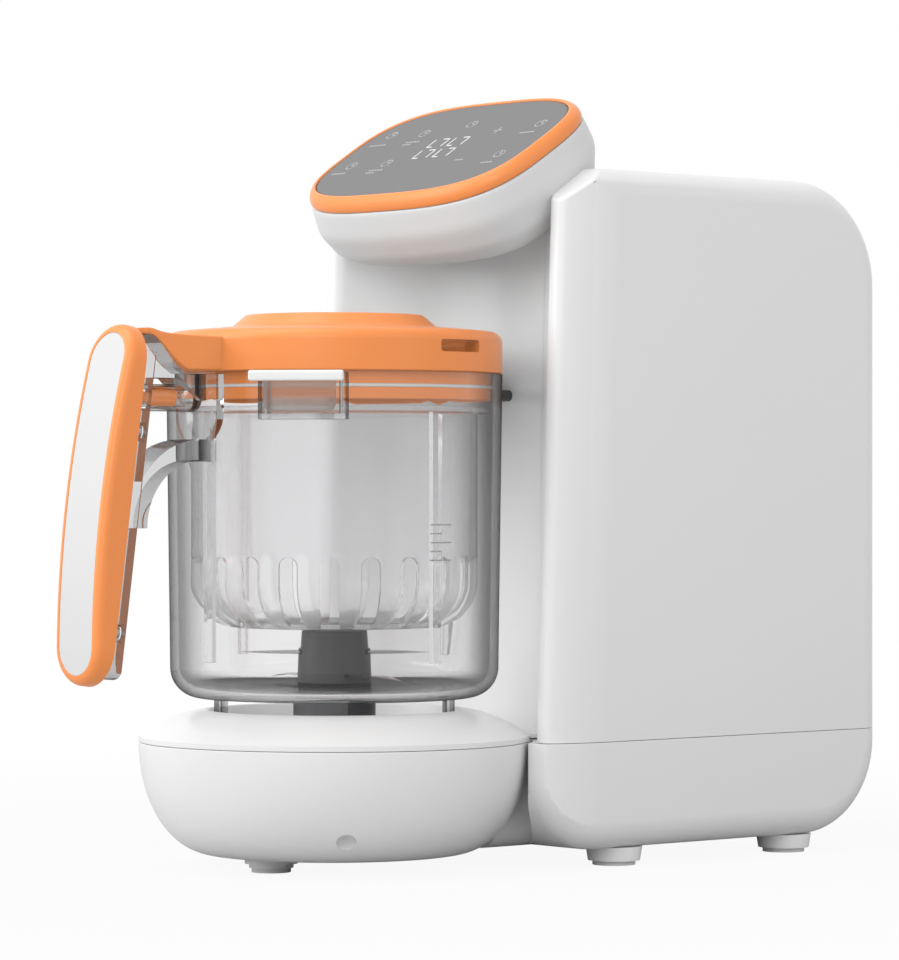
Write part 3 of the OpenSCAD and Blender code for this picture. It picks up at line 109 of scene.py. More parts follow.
# %% Set up the lamps
scene.view_settings.view_transform = "Standard"
LAMP_AIM = Vector((0, 0, 0.12))


def add_lamp(name, place, size, watts):
    """A square soft lamp that faces the object."""
    data = bpy.data.lights.new(name, "AREA")
    data.size = size
    data.energy = watts
    lamp = bpy.data.objects.new(name, data)
    lamp.location = place
    aim = LAMP_AIM - Vector(place)
    lamp.rotation_euler = aim.to_track_quat("-Z", "Y").to_euler()
    scene.collection.objects.link(lamp)


add_lamp("key", place=(-0.9, -1.6, 0.85), size=1.4, watts=16.5)
add_lamp("front", place=(1.1, -1.7, 1.0), size=1.2, watts=11.5)
add_lamp("fill", place=(1.9, 0.3, 0.9), size=1.2, watts=4)
add_lamp("overhead", place=(-0.3, -0.7, 1.8), size=1.4, watts=13.5)
print("lamps:", len(bpy.data.lights))

# %% [markdown]
# A white surround lifts the shadows. It shows as pure white only to the camera, to reflections and
# through clear plastic: the light that it gives to the object is set apart and lower, so that pale
# plastic keeps its shape.

# %% White surround
SURROUND_LIGHT = 0.61
WHITE = (1, 1, 1, 1)


def add_math(tree, operation, first, second):
    """A node that works out one value from two."""
    maths = tree.nodes.new("ShaderNodeMath")
    maths.operation = operation
    tree.links.new(first, maths.inputs[0])
    tree.links.new(second, maths.inputs[1])
    return maths.outputs[0]


def add_range(tree, value, **ends):
    """Takes a value from one range to another; the ends go to the node's sockets by name."""
    spread = tree.nodes.new("ShaderNodeMapRange")
    for socket, end in ends.items():
        spread.inputs[socket.replace("_", " ")].default_value = end
    tree.links.new(value, spread.inputs["Value"])
    return spread.outputs["Result"]


def seen_straight(tree):
    """One for what the camera sees, also through clear plastic, and zero for the rest."""
    path = tree.nodes.new("ShaderNodeLightPath")
    return add_math(tree, "MAXIMUM", path.outputs["Is Camera Ray"], path.outputs["Is Transmission Ray"])


world = bpy.data.worlds.new("white surround")
world.use_nodes = True
scene.world = world
tree = world.node_tree
tree.nodes.clear()
mirrored = tree.nodes.new("ShaderNodeLightPath").outputs["Is Glossy Ray"]
shown = add_math(tree, "MAXIMUM", seen_straight(tree), mirrored)
level = add_range(tree, shown, To_Min=SURROUND_LIGHT, To_Max=1)
surround = tree.nodes.new("ShaderNodeBackground")
surround.inputs["Color"].default_value = WHITE
tree.links.new(level, surround.inputs["Strength"])
world_out = tree.nodes.new("ShaderNodeOutputWorld")
tree.links.new(surround.outputs[0], world_out.inputs["Surface"])
print("surround:", world.name)

# %% [markdown]
# ## Finishes
#
# Moulded plastic is never one flat colour: the tint drifts a little, the gloss changes with the
# mould's polish, and a faint grain breaks up reflections. One node group makes all three from two
# noise textures, and each plastic places it with its own tint, gloss and grain.

# %% Moulded skin, shared by every plastic
DRIFT_SCALE = 16
DRIFT_DETAIL = 3
GRAIN_SCALE = 1100
GRAIN_DETAIL = 2
GRAIN_DEPTH = 0.0002
TINT_DRIFT = 0.007
GLOSS_DRIFT = 0.02
NOISE_ENDS = {"From_Min": 0.1, "From_Max": 0.9}


def new_group(name, inputs, outputs):
    """A shader node group with named sockets: (name, socket type, default) in, (name, type) out."""
    group = bpy.data.node_groups.new(name, "ShaderNodeTree")
    for socket, kind, default in inputs:
        made = group.interface.new_socket(name=socket, in_out="INPUT", socket_type=kind)
        made.default_value = default
    for socket, kind in outputs:
        group.interface.new_socket(name=socket, in_out="OUTPUT", socket_type=kind)
    ends = (group.nodes.new("NodeGroupInput"), group.nodes.new("NodeGroupOutput"))
    return group, *ends


def add_noise(group, coordinates, scale, detail):
    """A noise texture on the piece's own coordinates."""
    noise = group.nodes.new("ShaderNodeTexNoise")
    noise.inputs["Scale"].default_value = scale
    noise.inputs["Detail"].default_value = detail
    group.links.new(coordinates, noise.inputs["Vector"])
    return noise.outputs["Fac"]


def near_one(group, noise, share):
    """A factor that strays from one by a small share, as a noise does."""
    return add_range(group, noise, **NOISE_ENDS, To_Min=1 - share, To_Max=1 + share)


moulded, skin_in, skin_out = new_group(
    "moulded skin",
    [("Tint", "NodeSocketColor", (0.8, 0.8, 0.8, 1)), ("Gloss", "NodeSocketFloat", 0.3),
     ("Grain", "NodeSocketFloat", 0.1)],
    [("Color", "NodeSocketColor"), ("Roughness", "NodeSocketFloat"), ("Normal", "NodeSocketVector")])
place = moulded.nodes.new("ShaderNodeTexCoord").outputs["Object"]
drift = add_noise(moulded, place, DRIFT_SCALE, DRIFT_DETAIL)
grain = add_noise(moulded, place, GRAIN_SCALE, GRAIN_DETAIL)
tinted = moulded.nodes.new("ShaderNodeHueSaturation")
moulded.links.new(skin_in.outputs["Tint"], tinted.inputs["Color"])
moulded.links.new(near_one(moulded, drift, TINT_DRIFT), tinted.inputs["Value"])
moulded.links.new(tinted.outputs["Color"], skin_out.inputs["Color"])
polish = add_math(moulded, "MULTIPLY", skin_in.outputs["Gloss"], near_one(moulded, drift, GLOSS_DRIFT))
moulded.links.new(polish, skin_out.inputs["Roughness"])
relief = moulded.nodes.new("ShaderNodeBump")
relief.inputs["Distance"].default_value = GRAIN_DEPTH
moulded.links.new(skin_in.outputs["Grain"], relief.inputs["Strength"])
moulded.links.new(grain, relief.inputs["Height"])
moulded.links.new(relief.outputs["Normal"], skin_out.inputs["Normal"])
print("group:", moulded.name)

# %% [markdown]
# Each finish is a Principled shader fed by the group. Constant values, such as transmission or
# metal, are set on the shader's own sockets.

# %% Plastics, metal and rubber
FED_SOCKETS = {"Color": "Base Color", "Roughness": "Roughness", "Normal": "Normal"}
CLEAR = {"Transmission_Weight": 1.0, "IOR": 1.4, "Specular_IOR_Level": 0.3}


def finish(name, tint, gloss, grain, **sockets):
    """A material on the moulded skin; extra values go to the shader's sockets by name."""
    material = bpy.data.materials.new(name)
    material.use_nodes = True
    shader = material.node_tree.nodes["Principled BSDF"]
    skin = material.node_tree.nodes.new("ShaderNodeGroup")
    skin.node_tree = moulded
    skin.inputs["Tint"].default_value = (*tint, 1)
    skin.inputs["Gloss"].default_value = gloss
    skin.inputs["Grain"].default_value = grain
    for output, socket in FED_SOCKETS.items():
        material.node_tree.links.new(skin.outputs[output], shader.inputs[socket])
    for socket, value in sockets.items():
        shader.inputs[socket.replace("_", " ")].default_value = value
    return material


finishes = {
    "white_plastic": finish("white plastic", (0.80, 0.80, 0.80), 0.28, 0.0),
    "orange_plastic": finish("orange plastic", (0.90, 0.29, 0.08), 0.32, 0.004,
                             Specular_IOR_Level=0.35),
    "panel_glass": finish("panel glass", (0.175, 0.175, 0.178), 0.45, 0.002,
                          Specular_IOR_Level=0.15),
    "display": finish("display block", (0.02, 0.02, 0.02), 0.3, 0.01),
    "circuit_board": finish("circuit board", (0.04, 0.20, 0.08), 0.45, 0.3),
    "board_parts": finish("board parts", (0.20, 0.17, 0.10), 0.4, 0.2),
    "dark_plastic": finish("dark plastic", (0.015, 0.015, 0.016), 0.5, 0.03),
    "black_plastic": finish("black plastic", (0.02, 0.02, 0.02), 0.45, 0.3),
    "rubber": finish("rubber", (0.09, 0.09, 0.09), 0.7, 0.5),
    "pale_rubber": finish("pale rubber", (0.75, 0.75, 0.75), 0.6, 0.3),
    "silicone": finish("silicone", (0.72, 0.71, 0.69), 0.5, 0.2),
    "boiler_metal": finish("boiler metal", (0.60, 0.60, 0.60), 0.35, 0.4, Metallic=1.0),
    "coupling_metal": finish("dark cast metal", (0.08, 0.08, 0.085), 0.5, 0.3, Metallic=1.0),
    # The feet are painted paler than the white body: painted light that makes up for the shade under
    # the machine
    "foot_plastic": finish("foot plastic painted paler against shade", (0.92, 0.92, 0.92), 0.4, 0.05),
    "steel": finish("ground steel", (0.58, 0.58, 0.59), 0.22, 0.05, Metallic=1.0),
    "clear_plastic": finish("clear plastic", (0.975, 0.975, 0.98), 0.02, 0.001, **CLEAR),
    "basket_plastic": finish("milky plastic", (0.95, 0.95, 0.955), 0.12, 0.003,
                             Transmission_Weight=0.9, IOR=1.35),
    "lip_plastic": finish("pale lip", (0.90, 0.90, 0.90), 0.15, 0.003, Transmission_Weight=0.1),
    "inlay_plastic": finish("pale inlay", (0.60, 0.60, 0.605), 0.4, 0.01),
    "tank_plastic": finish("smoky plastic", (0.45, 0.47, 0.50), 0.08, 0.002, **CLEAR),
}
print("finishes:", len(finishes))

# %% [markdown]
# Clear plastic would cast a black shadow, because lamps are not looked for through a bending
# surface. Clear pieces are therefore left out when light is gathered. Edges of clear plastic look
# dark, where one looks along the wall: the jug takes up a little light along the way, and the view
# through it dims as its surface turns away. The orange keeps its colour to itself: to the light
# that it throws on others it is grey.

# %% Light through plastic and off plastic
JUG_SMOKE = 25
EDGE_START = 0.40
MANY_TURNS = 1
JUG_EDGE = 0.12
BASKET_EDGE = 0.5
QUIET_GREY = 0.45
BLACK = (0, 0, 0, 1)


def let_light_through(piece):
    """Lets lamps and soft light reach what stands in or behind a clear piece."""
    piece.visible_shadow = False
    piece.visible_diffuse = False


def darken_edges(material, tint):
    """Dims the view through a clear plastic where one looks along its surface.

    A ray that was thrown about inside leaves straight on, where it would else end in black.
    """
    tree = material.node_tree
    facing = tree.nodes.new("ShaderNodeLayerWeight").outputs["Facing"]
    edge = add_range(tree, facing, From_Min=EDGE_START)
    many = tree.nodes.new("ShaderNodeMath")
    many.operation = "GREATER_THAN"
    many.inputs[1].default_value = MANY_TURNS
    tree.links.new(tree.nodes.new("ShaderNodeLightPath").outputs["Glossy Depth"], many.inputs[0])
    surface = tree.nodes["Principled BSDF"].outputs[0]
    for mask, share in ((edge, tint), (many.outputs[0], 1)):
        through = tree.nodes.new("ShaderNodeBsdfTransparent")
        through.inputs["Color"].default_value = (share, share, share, 1)
        blend = tree.nodes.new("ShaderNodeMixShader")
        tree.links.new(mask, blend.inputs["Fac"])
        tree.links.new(surface, blend.inputs[1])
        tree.links.new(through.outputs[0], blend.inputs[2])
        surface = blend.outputs[0]
    tree.links.new(surface, tree.nodes["Material Output"].inputs["Surface"])


def quiet_bounce(material):
    """Takes the colour out of the light that a strong colour throws on its neighbours."""
    tree = material.node_tree
    colour = tree.nodes["Principled BSDF"].inputs["Base Color"]
    path = tree.nodes.new("ShaderNodeLightPath")
    blend = tree.nodes.new("ShaderNodeMixRGB")
    blend.inputs["Color2"].default_value = (QUIET_GREY, QUIET_GREY, QUIET_GREY, 1)
    tree.links.new(path.outputs["Is Diffuse Ray"], blend.inputs["Fac"])
    tree.links.new(colour.links[0].from_socket, blend.inputs["Color1"])
    tree.links.new(blend.outputs["Color"], colour)


for clear in ("jug", "water_tank"):
    let_light_through(nodes[clear])
darken_edges(finishes["clear_plastic"], JUG_EDGE)
darken_edges(finishes["basket_plastic"], BASKET_EDGE)
quiet_bounce(finishes["orange_plastic"])
tree = finishes["clear_plastic"].node_tree
smoke = tree.nodes.new("ShaderNodeVolumeAbsorption")
smoke.inputs["Density"].default_value = JUG_SMOKE
smoke.inputs["Color"].default_value = BLACK
tree.links.new(smoke.outputs["Volume"], tree.nodes["Material Output"].inputs["Volume"])
print("nodes of clear plastic:", len(tree.nodes))

# %% [markdown]
# Every piece of the frame now gets the finish of its material slot. The steam nozzle is paler than
# the other dark pieces, so it has a look of its own.

# %% Finishes on the frame
SLOT_OF = {part["node"]: part["material_slot"] for part in frame["record"]["subparts"]}
OWN_LOOK = {"steam_nozzle": finish("matt dark plastic", (0.08, 0.08, 0.082), 0.5, 0.03)}
for node, shown_object in nodes.items():
    shown_object.data.materials.clear()
    shown_object.data.materials.append(OWN_LOOK.get(node, finishes[SLOT_OF[node]]))
print("slots:", len(set(SLOT_OF.values())))

# %% [markdown]
# ## Drawing in millimetres
#
# Housings are easiest to draw in millimetres round the jug's axis, as on a drawing board. One
# function then takes a finished shape to the frame's metres, shades it, gives it its finish and
# fixes it to the body that carries it.

# %% From the drawing board to the frame
TO_FRAME = Matrix.Translation((JUG_AXIS.x, JUG_AXIS.y, 0)) @ Matrix.Scale(MM, 4)


def drawn(point):
    """A point of the frame, in metres, as it is on the drawing board."""
    return TO_FRAME.inverted() @ point


def drawn_box(node):
    """The low and the high corner of a node's box, on the drawing board."""
    return [drawn(corner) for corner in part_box(node)]


def moved(bm, matrix):
    """A drawn shape after a move of the whole of it."""
    bmesh.ops.transform(bm, matrix=matrix, verts=bm.verts)
    return bm


def settle(name, bm, body, slot, replaced=(), sharp=32, look=None):
    """Turns a drawn shape into a piece of the object, in its slot's finish or a look of its own."""
    mesh = bpy.data.meshes.new(name)
    moved(bm, TO_FRAME).to_mesh(mesh)
    bm.free()
    mesh.shade_smooth()
    mesh.set_sharp_from_angle(angle=math.radians(sharp))
    mesh.materials.append(look or finishes[slot])
    piece = bpy.data.objects.new(name, mesh)
    scene.collection.objects.link(piece)
    even = piece.modifiers.new("even shading", "WEIGHTED_NORMAL")
    even.keep_sharp = True
    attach(piece, body)
    if replaced:
        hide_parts(*replaced)
    print(name, len(mesh.vertices), "points")
    return piece


# %% [markdown]
# Many forms are skins over rings of points. The first ring is drawn on to the next with the extrude
# operator, and each vertex remembers its number, so that every ring can have its own size and
# place. A prism is the plainest skin: the same ring twice.

# %% Skins over rings
def only(kind, geometry):
    """What is of one kind, such as edges, among what an operator made."""
    return [made for made in geometry if isinstance(made, kind)]


def ringed(rings):
    """A skin drawn from ring to ring, each a list of as many points, and the skin's two rims."""
    bm = bmesh.new()
    order = bm.verts.layers.int.new("order")
    verts = [bm.verts.new(point) for point in rings[0]]
    for i, vert in enumerate(verts):
        vert[order] = i
    edges = [bm.edges.new((verts[i - 1], verts[i])) for i in range(len(verts))]
    first_rim = list(edges)
    for ring in rings[1:]:
        drawn_on = bmesh.ops.extrude_edge_only(bm, edges=edges)["geom"]
        verts = only(BMVert, drawn_on)
        for vert in verts:
            vert.co = ring[vert[order]]
        edges = [e for e in only(BMEdge, drawn_on) if e.verts[0] in verts and e.verts[1] in verts]
    return bm, first_rim, edges


def capped(rings):
    """A skin over rings, closed at both ends."""
    bm, first_rim, last_rim = ringed(rings)
    for rim in (first_rim, last_rim):
        bmesh.ops.contextual_create(bm, geom=rim)
    bmesh.ops.recalc_face_normals(bm, faces=bm.faces)
    return bm


def cross_prism(outline, left, right):
    """A prism along X over an outline of (y, z) points."""
    return capped([[(x, y, z) for y, z in outline] for x in (left, right)])


# %% [markdown]
# ## Tower
#
# The tower is a block with generous rounds in its side view and softly rounded flat sides. Its
# front is hollowed round the jug, and the hollow leans back as it rises. The tips beside it are
# round within and drawn out along the flanks without, so that light fades softly round them.
# A block with bevelled edges gives the first form. The plan, drawn as arcs and pulled up into a
# prism, gives the second, and a Boolean keeps what both have in common.

# %% The rounded block
shell_high = drawn_box("tower_shell")[1]
# Points that are nearer to each other than this, in millimetres, are in one place
TINY = 0.001
TOWER_BOTTOM = 6.5
HALF_WIDTH = shell_high.x
BLOCK_FRONT = 39
TOP_REAR_R = 38
BOTTOM_REAR_R = 34
BOTTOM_FRONT_R = 26
SIDE_RIM_R = 10
ROUND_STEPS = 20
RIM_STEPS = 10


def soften(bm, edges, radius, segments):
    """Rounds edges to a radius."""
    bmesh.ops.bevel(bm, geom=edges, offset=radius, offset_type="OFFSET", segments=segments,
                    profile=0.5, affect="EDGES", material=-1)


def flank_edges(bm):
    """The edges that lie on one side of the machine's middle plane."""
    return [e for e in bm.edges if e.verts[0].co.x * e.verts[1].co.x > 0]


def side_block():
    """The tower's block, before its front is hollowed."""
    corners = [(BLOCK_FRONT, TOWER_BOTTOM, BOTTOM_FRONT_R),
               (shell_high.y, TOWER_BOTTOM, BOTTOM_REAR_R),
               (shell_high.y, shell_high.z, TOP_REAR_R),
               (BLOCK_FRONT, shell_high.z, SIDE_RIM_R)]
    bm = cross_prism([(y, z) for y, z, radius in corners], -HALF_WIDTH, HALF_WIDTH)
    for y, z, radius in corners:
        corner = Vector((y, z))
        edges = [e for e in bm.edges if all((v.co.yz - corner).length < TINY for v in e.verts)]
        soften(bm, edges, radius, ROUND_STEPS)
    soften(bm, flank_edges(bm), SIDE_RIM_R - TINY, RIM_STEPS)
    return bm


# %% The hollow plan
TIP_R = 8
TIP_OUT = 0.1
TIP_EASE = 18
TIP_STEPS = 8
FLANK_STEPS = 24
HOLLOW_STEPS = 24
# How far a cutting shape reaches past what it cuts
CUT_OVER = 5


def arc(centre, radius, start, stop, steps):
    """Points of an arc, from one direction to another, in radians."""
    turns = [start + (stop - start) * i / steps for i in range(steps + 1)]
    return [(centre[0] + radius * math.cos(t), centre[1] + radius * math.sin(t)) for t in turns]


def hollow_plan(hollow_r):
    """The tower's plan: behind the hollow, with a rounded tip on each side."""
    beside = HALF_WIDTH + CUT_OVER
    tip_x = HALF_WIDTH - TIP_R + TIP_OUT
    tip_y = math.sqrt((hollow_r + TIP_R) ** 2 - tip_x ** 2)
    touch = math.atan2(tip_y, tip_x)
    ease = (TIP_R + TIP_EASE) / TIP_R
    flank = arc((0, 0), TIP_R, 0, -math.pi / 2, FLANK_STEPS)[:-1]
    right = [(beside, shell_high.y + CUT_OVER), (beside, tip_y + TIP_EASE)]
    right += [(tip_x + x, tip_y + TIP_EASE + y * ease) for x, y in flank]
    right += arc((tip_x, tip_y), TIP_R, -math.pi / 2, touch - math.pi, TIP_STEPS)
    right += arc((0, 0), hollow_r, touch, math.pi / 2, HOLLOW_STEPS)[1:]
    left = [(-x, y) for x, y in reversed(right[:-1])]
    return right + left


# %% Boolean and cut
# The hollow's upper radius is the one at this height above the block
HOLLOW_OVER = 1
# Only edges that bend by more than this, in radians, are softened after a cut
CREASE_ANGLE = 0.3
SOFT_STEPS = 3


def carve(bm, cutter, operation):
    """The Boolean of two drawn shapes, as a new one."""
    stand_ins = []
    for shape in (bm, cutter):
        mesh = bpy.data.meshes.new("carving")
        shape.to_mesh(mesh)
        shape.free()
        stand_ins.append(bpy.data.objects.new("carving", mesh))
        scene.collection.objects.link(stand_ins[-1])
    cut = stand_ins[0].modifiers.new("carve", "BOOLEAN")
    cut.operation = operation
    cut.solver = "MANIFOLD"
    cut.object = stand_ins[1]
    result = bmesh.new()
    result.from_object(stand_ins[0], bpy.context.evaluated_depsgraph_get())
    for stand_in in stand_ins:
        bpy.data.meshes.remove(stand_in.data)
    return result


def hollow_tower(low_r, high_r):
    """The tower from its underside to its top, with the hollow's radius at either."""
    rings = []
    for hollow_r, height in ((low_r, 0), (high_r, shell_high.z + HOLLOW_OVER)):
        rings.append([(x, y, height) for x, y in hollow_plan(hollow_r)])
    return carve(side_block(), capped(rings), "INTERSECT")


def cut_off(bm, point, normal, radius):
    """Cuts away what lies beyond a plane, closes the cut and softens its edge."""
    whole = list(bm.verts) + list(bm.edges) + list(bm.faces)
    cut = bmesh.ops.bisect_plane(bm, geom=whole, plane_co=point, plane_no=normal, clear_outer=True)
    bmesh.ops.edgenet_fill(bm, edges=only(BMEdge, cut["geom_cut"]))
    bmesh.ops.recalc_face_normals(bm, faces=bm.faces)
    rim = [e for e in bm.edges if all(abs((v.co - point).dot(normal)) < TINY for v in e.verts)]
    soften(bm, [e for e in rim if e.calc_face_angle(0) > CREASE_ANGLE], radius, SOFT_STEPS)


# %% [markdown]
# The seam runs round the machine at one height, so the form is cut twice: what lies above is the
# shell, what lies below is the tray, whose hollow closely follows the bowl. The shell loses its
# upper front corner in a plane that is parallel to the control panel. Its back is opened for the
# water tank, and bored for the cord's gland.

# %% Shell of the tower
tray_low, tray_high = drawn_box("base_tray")
HOLLOW_LOW_R = 70.8
HOLLOW_HIGH_R = 76.4
HEAD_TILT = math.radians(32.5)
GLASS_T = 3
CORNER_CUT = 18
CREASE_SOFT = 1.2
SEAM_GAP = 0.15
SEAM_SOFT = 0.2
TANK_GAP = 0.6
GLAND_R = 4.5
GLAND_DEEP = 40
ROD_SIDES = 40
UP = Vector((0, 0, 1))


def add_block(bm, low, high):
    """Adds a box between two corners."""
    made = bmesh.ops.create_cube(bm, size=1)["verts"]
    bmesh.ops.scale(bm, vec=Vector(high) - Vector(low), verts=made)
    bmesh.ops.translate(bm, vec=(Vector(high) + Vector(low)) / 2, verts=made)


def rod(x, z, stations):
    """A round rod along Y, drawn through stations of (y, radius)."""
    rings = []
    for y, radius in stations:
        circle = arc((x, z), radius, 0, 2 * math.pi, ROD_SIDES)[:-1]
        rings.append([(across, y, height) for across, height in circle])
    return capped(rings)


head_normal = Vector((0, -math.sin(HEAD_TILT), math.cos(HEAD_TILT)))
head_centre = drawn(middle("touch_panel")) + head_normal * GLASS_T / 2
seam_top = tray_high.z + SEAM_GAP
shell = hollow_tower(HOLLOW_LOW_R, HOLLOW_HIGH_R)
cut_off(shell, head_centre - head_normal * CORNER_CUT, head_normal, CREASE_SOFT)
cut_off(shell, UP * seam_top, -UP, SEAM_SOFT)
tank_low = drawn_box("water_tank")[0]
tank_high = drawn_box("tank_cap")[1]
niche_half = (tank_high.x - tank_low.x) / 2 + TANK_GAP
behind = shell_high.y + CUT_OVER
niche = bmesh.new()
add_block(niche, (-niche_half, tank_low.y - TANK_GAP, tank_low.z - TANK_GAP),
          (niche_half, behind, tank_high.z + TANK_GAP))
shell = carve(shell, niche, "DIFFERENCE")
gland = drawn(middle("cord_gland"))
bore = rod(gland.x, gland.z, [(shell_high.y - GLAND_DEEP, GLAND_R), (behind, GLAND_R)])
settle("tower_shell_skin", carve(shell, bore, "DIFFERENCE"), "base", "white_plastic", ["tower_shell"])

# %% Tray of the tower
dock_low, dock_high = drawn_box("dock_cover")
BOWL_R = dock_high.x
TRAY_HOLLOW_R = BOWL_R + 1
tray = hollow_tower(TRAY_HOLLOW_R, TRAY_HOLLOW_R)
cut_off(tray, UP * tray_high.z, UP, SEAM_SOFT)
settle("tower_tray_skin", tray, "base", "white_plastic", ["base_tray"])

# %% [markdown]
# ## Motor base
#
# The bowl is turned: a half section spun round the jug's axis, as a potter would. Its side is a
# quarter of an ellipse, its lip is softened, and a small round dimple sits low on its right.

# %% Turned shapes
TURN_STEPS = 128


def turned(outline):
    """Spins a closed half section of (radius, height) points round the jug's axis."""
    bm = bmesh.new()
    ring = [bm.verts.new((radius, 0, height)) for radius, height in outline]
    edges = [bm.edges.new((ring[i - 1], ring[i])) for i in range(len(ring))]
    bmesh.ops.spin(bm, geom=ring + edges, axis=(0, 0, 1), cent=(0, 0, 0), angle=2 * math.pi,
                   steps=TURN_STEPS, use_merge=True)
    bmesh.ops.remove_doubles(bm, verts=bm.verts, dist=TINY)
    bmesh.ops.recalc_face_normals(bm, faces=bm.faces)
    return bm


def toward(degrees):
    """Turns +X to a direction counted from the handle towards +X."""
    return Matrix.Rotation(math.radians(degrees - 90), 4, "Z")


# %% Bowl with its dimple
BOWL_FLAT_R = 43
BOWL_STEPS = 24
LIP_R = 0.3
LIP_STEPS = 4
DIMPLE_TURN = 55
DIMPLE_R = 3.6
DIMPLE_PLACE = (57.7, 0, 14.0)
DIMPLE_SIDES = 32
DIMPLE_RINGS = 20

lip_foot = tray_high.z - LIP_R
bowl_outline = [(0, tray_low.z)]
for i in range(BOWL_STEPS + 1):
    turn = math.pi / 2 * i / BOWL_STEPS
    radius = BOWL_FLAT_R + (BOWL_R - BOWL_FLAT_R) * math.sin(turn)
    bowl_outline.append((radius, lip_foot - (lip_foot - tray_low.z) * math.cos(turn)))
bowl_outline += arc((BOWL_R - LIP_R, lip_foot), LIP_R, 0, math.pi / 2, LIP_STEPS)[1:]
bowl_outline.append((0, tray_high.z))
dimple = bmesh.new()
bmesh.ops.create_uvsphere(dimple, u_segments=DIMPLE_SIDES, v_segments=DIMPLE_RINGS, radius=DIMPLE_R)
moved(dimple, toward(DIMPLE_TURN) @ Matrix.Translation(DIMPLE_PLACE))
settle("bowl_skin", carve(turned(bowl_outline), dimple, "DIFFERENCE"), "base", "white_plastic")

# %% [markdown]
# A short neck, rounded along its lower edges, closes the gap between the bowl and the tower.

# %% Neck between bowl and tower
NECK_HALF = 40
NECK_FRONT = 40
NECK_REAR = 92
NECK_ROUND = 8
NECK_STEPS = 8
neck = bmesh.new()
add_block(neck, (-NECK_HALF, NECK_FRONT, TOWER_BOTTOM), (NECK_HALF, NECK_REAR, tray_high.z))
low_edges = [e for e in flank_edges(neck) if all(v.co.z < NECK_ROUND for v in e.verts)]
soften(neck, low_edges, NECK_ROUND, NECK_STEPS)
settle("neck_skin", neck, "base", "white_plastic")

# %% [markdown]
# The dock cover closes the bowl. It rises from a short upright edge in a flat dome to the rim of
# the jug's seat, and a tongue carries it over the neck to the tower.

# %% Dock cover
DOCK_R = 44
DOCK_DEPTH = 4.8
DRIVE_HOLE_R = 16.4
COVER_EDGE_TOP = 46.2
DOME_POWER = 1.7
DOME_STEPS = 20
COVER_WALL = 2.6
RIM_SOFT = 0.9

dock_top = dock_high.z
dome_r = DOCK_R + RIM_SOFT
dome = [(BOWL_R - LIP_R, seam_top)]
dome += arc((BOWL_R - LIP_R, seam_top + LIP_R), LIP_R, -math.pi / 2, 0, LIP_STEPS)[1:]
for i in range(DOME_STEPS + 1):
    share = 1 - i / DOME_STEPS
    rise = (dock_top - COVER_EDGE_TOP) * (1 - share ** DOME_POWER)
    dome.append((dome_r + (BOWL_R - dome_r) * share, COVER_EDGE_TOP + rise))
dome += arc((dome_r, dock_top - RIM_SOFT), RIM_SOFT, math.pi / 2, math.pi, LIP_STEPS)[1:]
seat = dock_top - DOCK_DEPTH
dome += [(DOCK_R, seat), (DRIVE_HOLE_R, seat), (DRIVE_HOLE_R, seat - COVER_WALL), (DOCK_R, seam_top)]
settle("dock_skin", turned(dome), "base", "white_plastic", ["dock_cover"])

# %% Tongue of the dock cover
TONGUE_REAR = 76
tongue = bmesh.new()
add_block(tongue, (-NECK_HALF, NECK_FRONT, dock_low.z), (NECK_HALF, TONGUE_REAR, COVER_EDGE_TOP))
half_way = (dock_low.z + COVER_EDGE_TOP) / 2
top_edges = [e for e in tongue.edges if all(v.co.z > half_way for v in e.verts)]
soften(tongue, top_edges, LIP_R, SOFT_STEPS)
settle("dock_tongue", tongue, "base", "white_plastic")

# %% [markdown]
# ## Control head
#
# The head is a soft-cornered oval, fuller than an ellipse, tilted towards the user. A circle of
# points is pressed into that oval for every ring of a skin. The white shell, the orange bezel and
# the glass are all made this way, in the head's own tilted plane. The shell is more matt than the
# tower, and its white is painted greyer: painted shade, for it faces down and away from the light.

# %% Ovals and soft curves
HEAD_POWER = 3.2
HEAD_LEAN = 0.1
RING_POINTS = 144
GLASS_A = 52.9
GLASS_B = 32.5
TO_HEAD = Matrix.Translation(head_centre) @ Matrix.Rotation(HEAD_TILT, 4, "X")


def oval_rings(stations):
    """Rings parallel to the glass's edge, some way outside it and at a height: (out, height)."""
    rings = []
    for out, height in stations:
        ring = []
        for i in range(RING_POINTS):
            across = math.cos(2 * math.pi * i / RING_POINTS)
            along = math.sin(2 * math.pi * i / RING_POINTS)
            x = (GLASS_A + out) * math.copysign(abs(across) ** (2 / HEAD_POWER), across)
            y = (GLASS_B + out) * math.copysign(abs(along) ** (2 / HEAD_POWER), along)
            ring.append((x, y + height * HEAD_LEAN, height))
        rings.append(ring)
    return rings


def smooth_line(points, steps):
    """A soft curve through points, each span in a number of steps."""
    line = []
    last = len(points) - 1
    for i in range(last):
        before, here, there, after = (Vector(points[min(max(k, 0), last)]) for k in range(i - 1, i + 3))
        for step in range(steps):
            share = step / steps
            bend = (before * 2 - here * 5 + there * 4 - after) * share ** 2
            twist = (here * 3 - there * 3 + after - before) * share ** 3
            line.append(here + ((there - before) * share + bend + twist) / 2)
    return line + [Vector(points[-1])]


# %% Shell of the head
HEAD_SIDE = [(2.9, -5.25), (3.4, -6.1), (3.8, -10), (4.0, -15), (2.6, -20), (0.4, -25), (-5, -30),
             (-12, -33.5)]
HEAD_STEPS = 6
head = capped(oval_rings(smooth_line(HEAD_SIDE, HEAD_STEPS)))
# The head's white is painted greyer than the tower's, as painted shade for its downward-facing skin
shade_greyed_white = finish("white plastic greyed for painted shade", (0.68, 0.68, 0.68), 0.4, 0.002)
settle("head_skin", moved(head, TO_HEAD), "base", "white_plastic", ["head_shell"], sharp=50, look=shade_greyed_white)

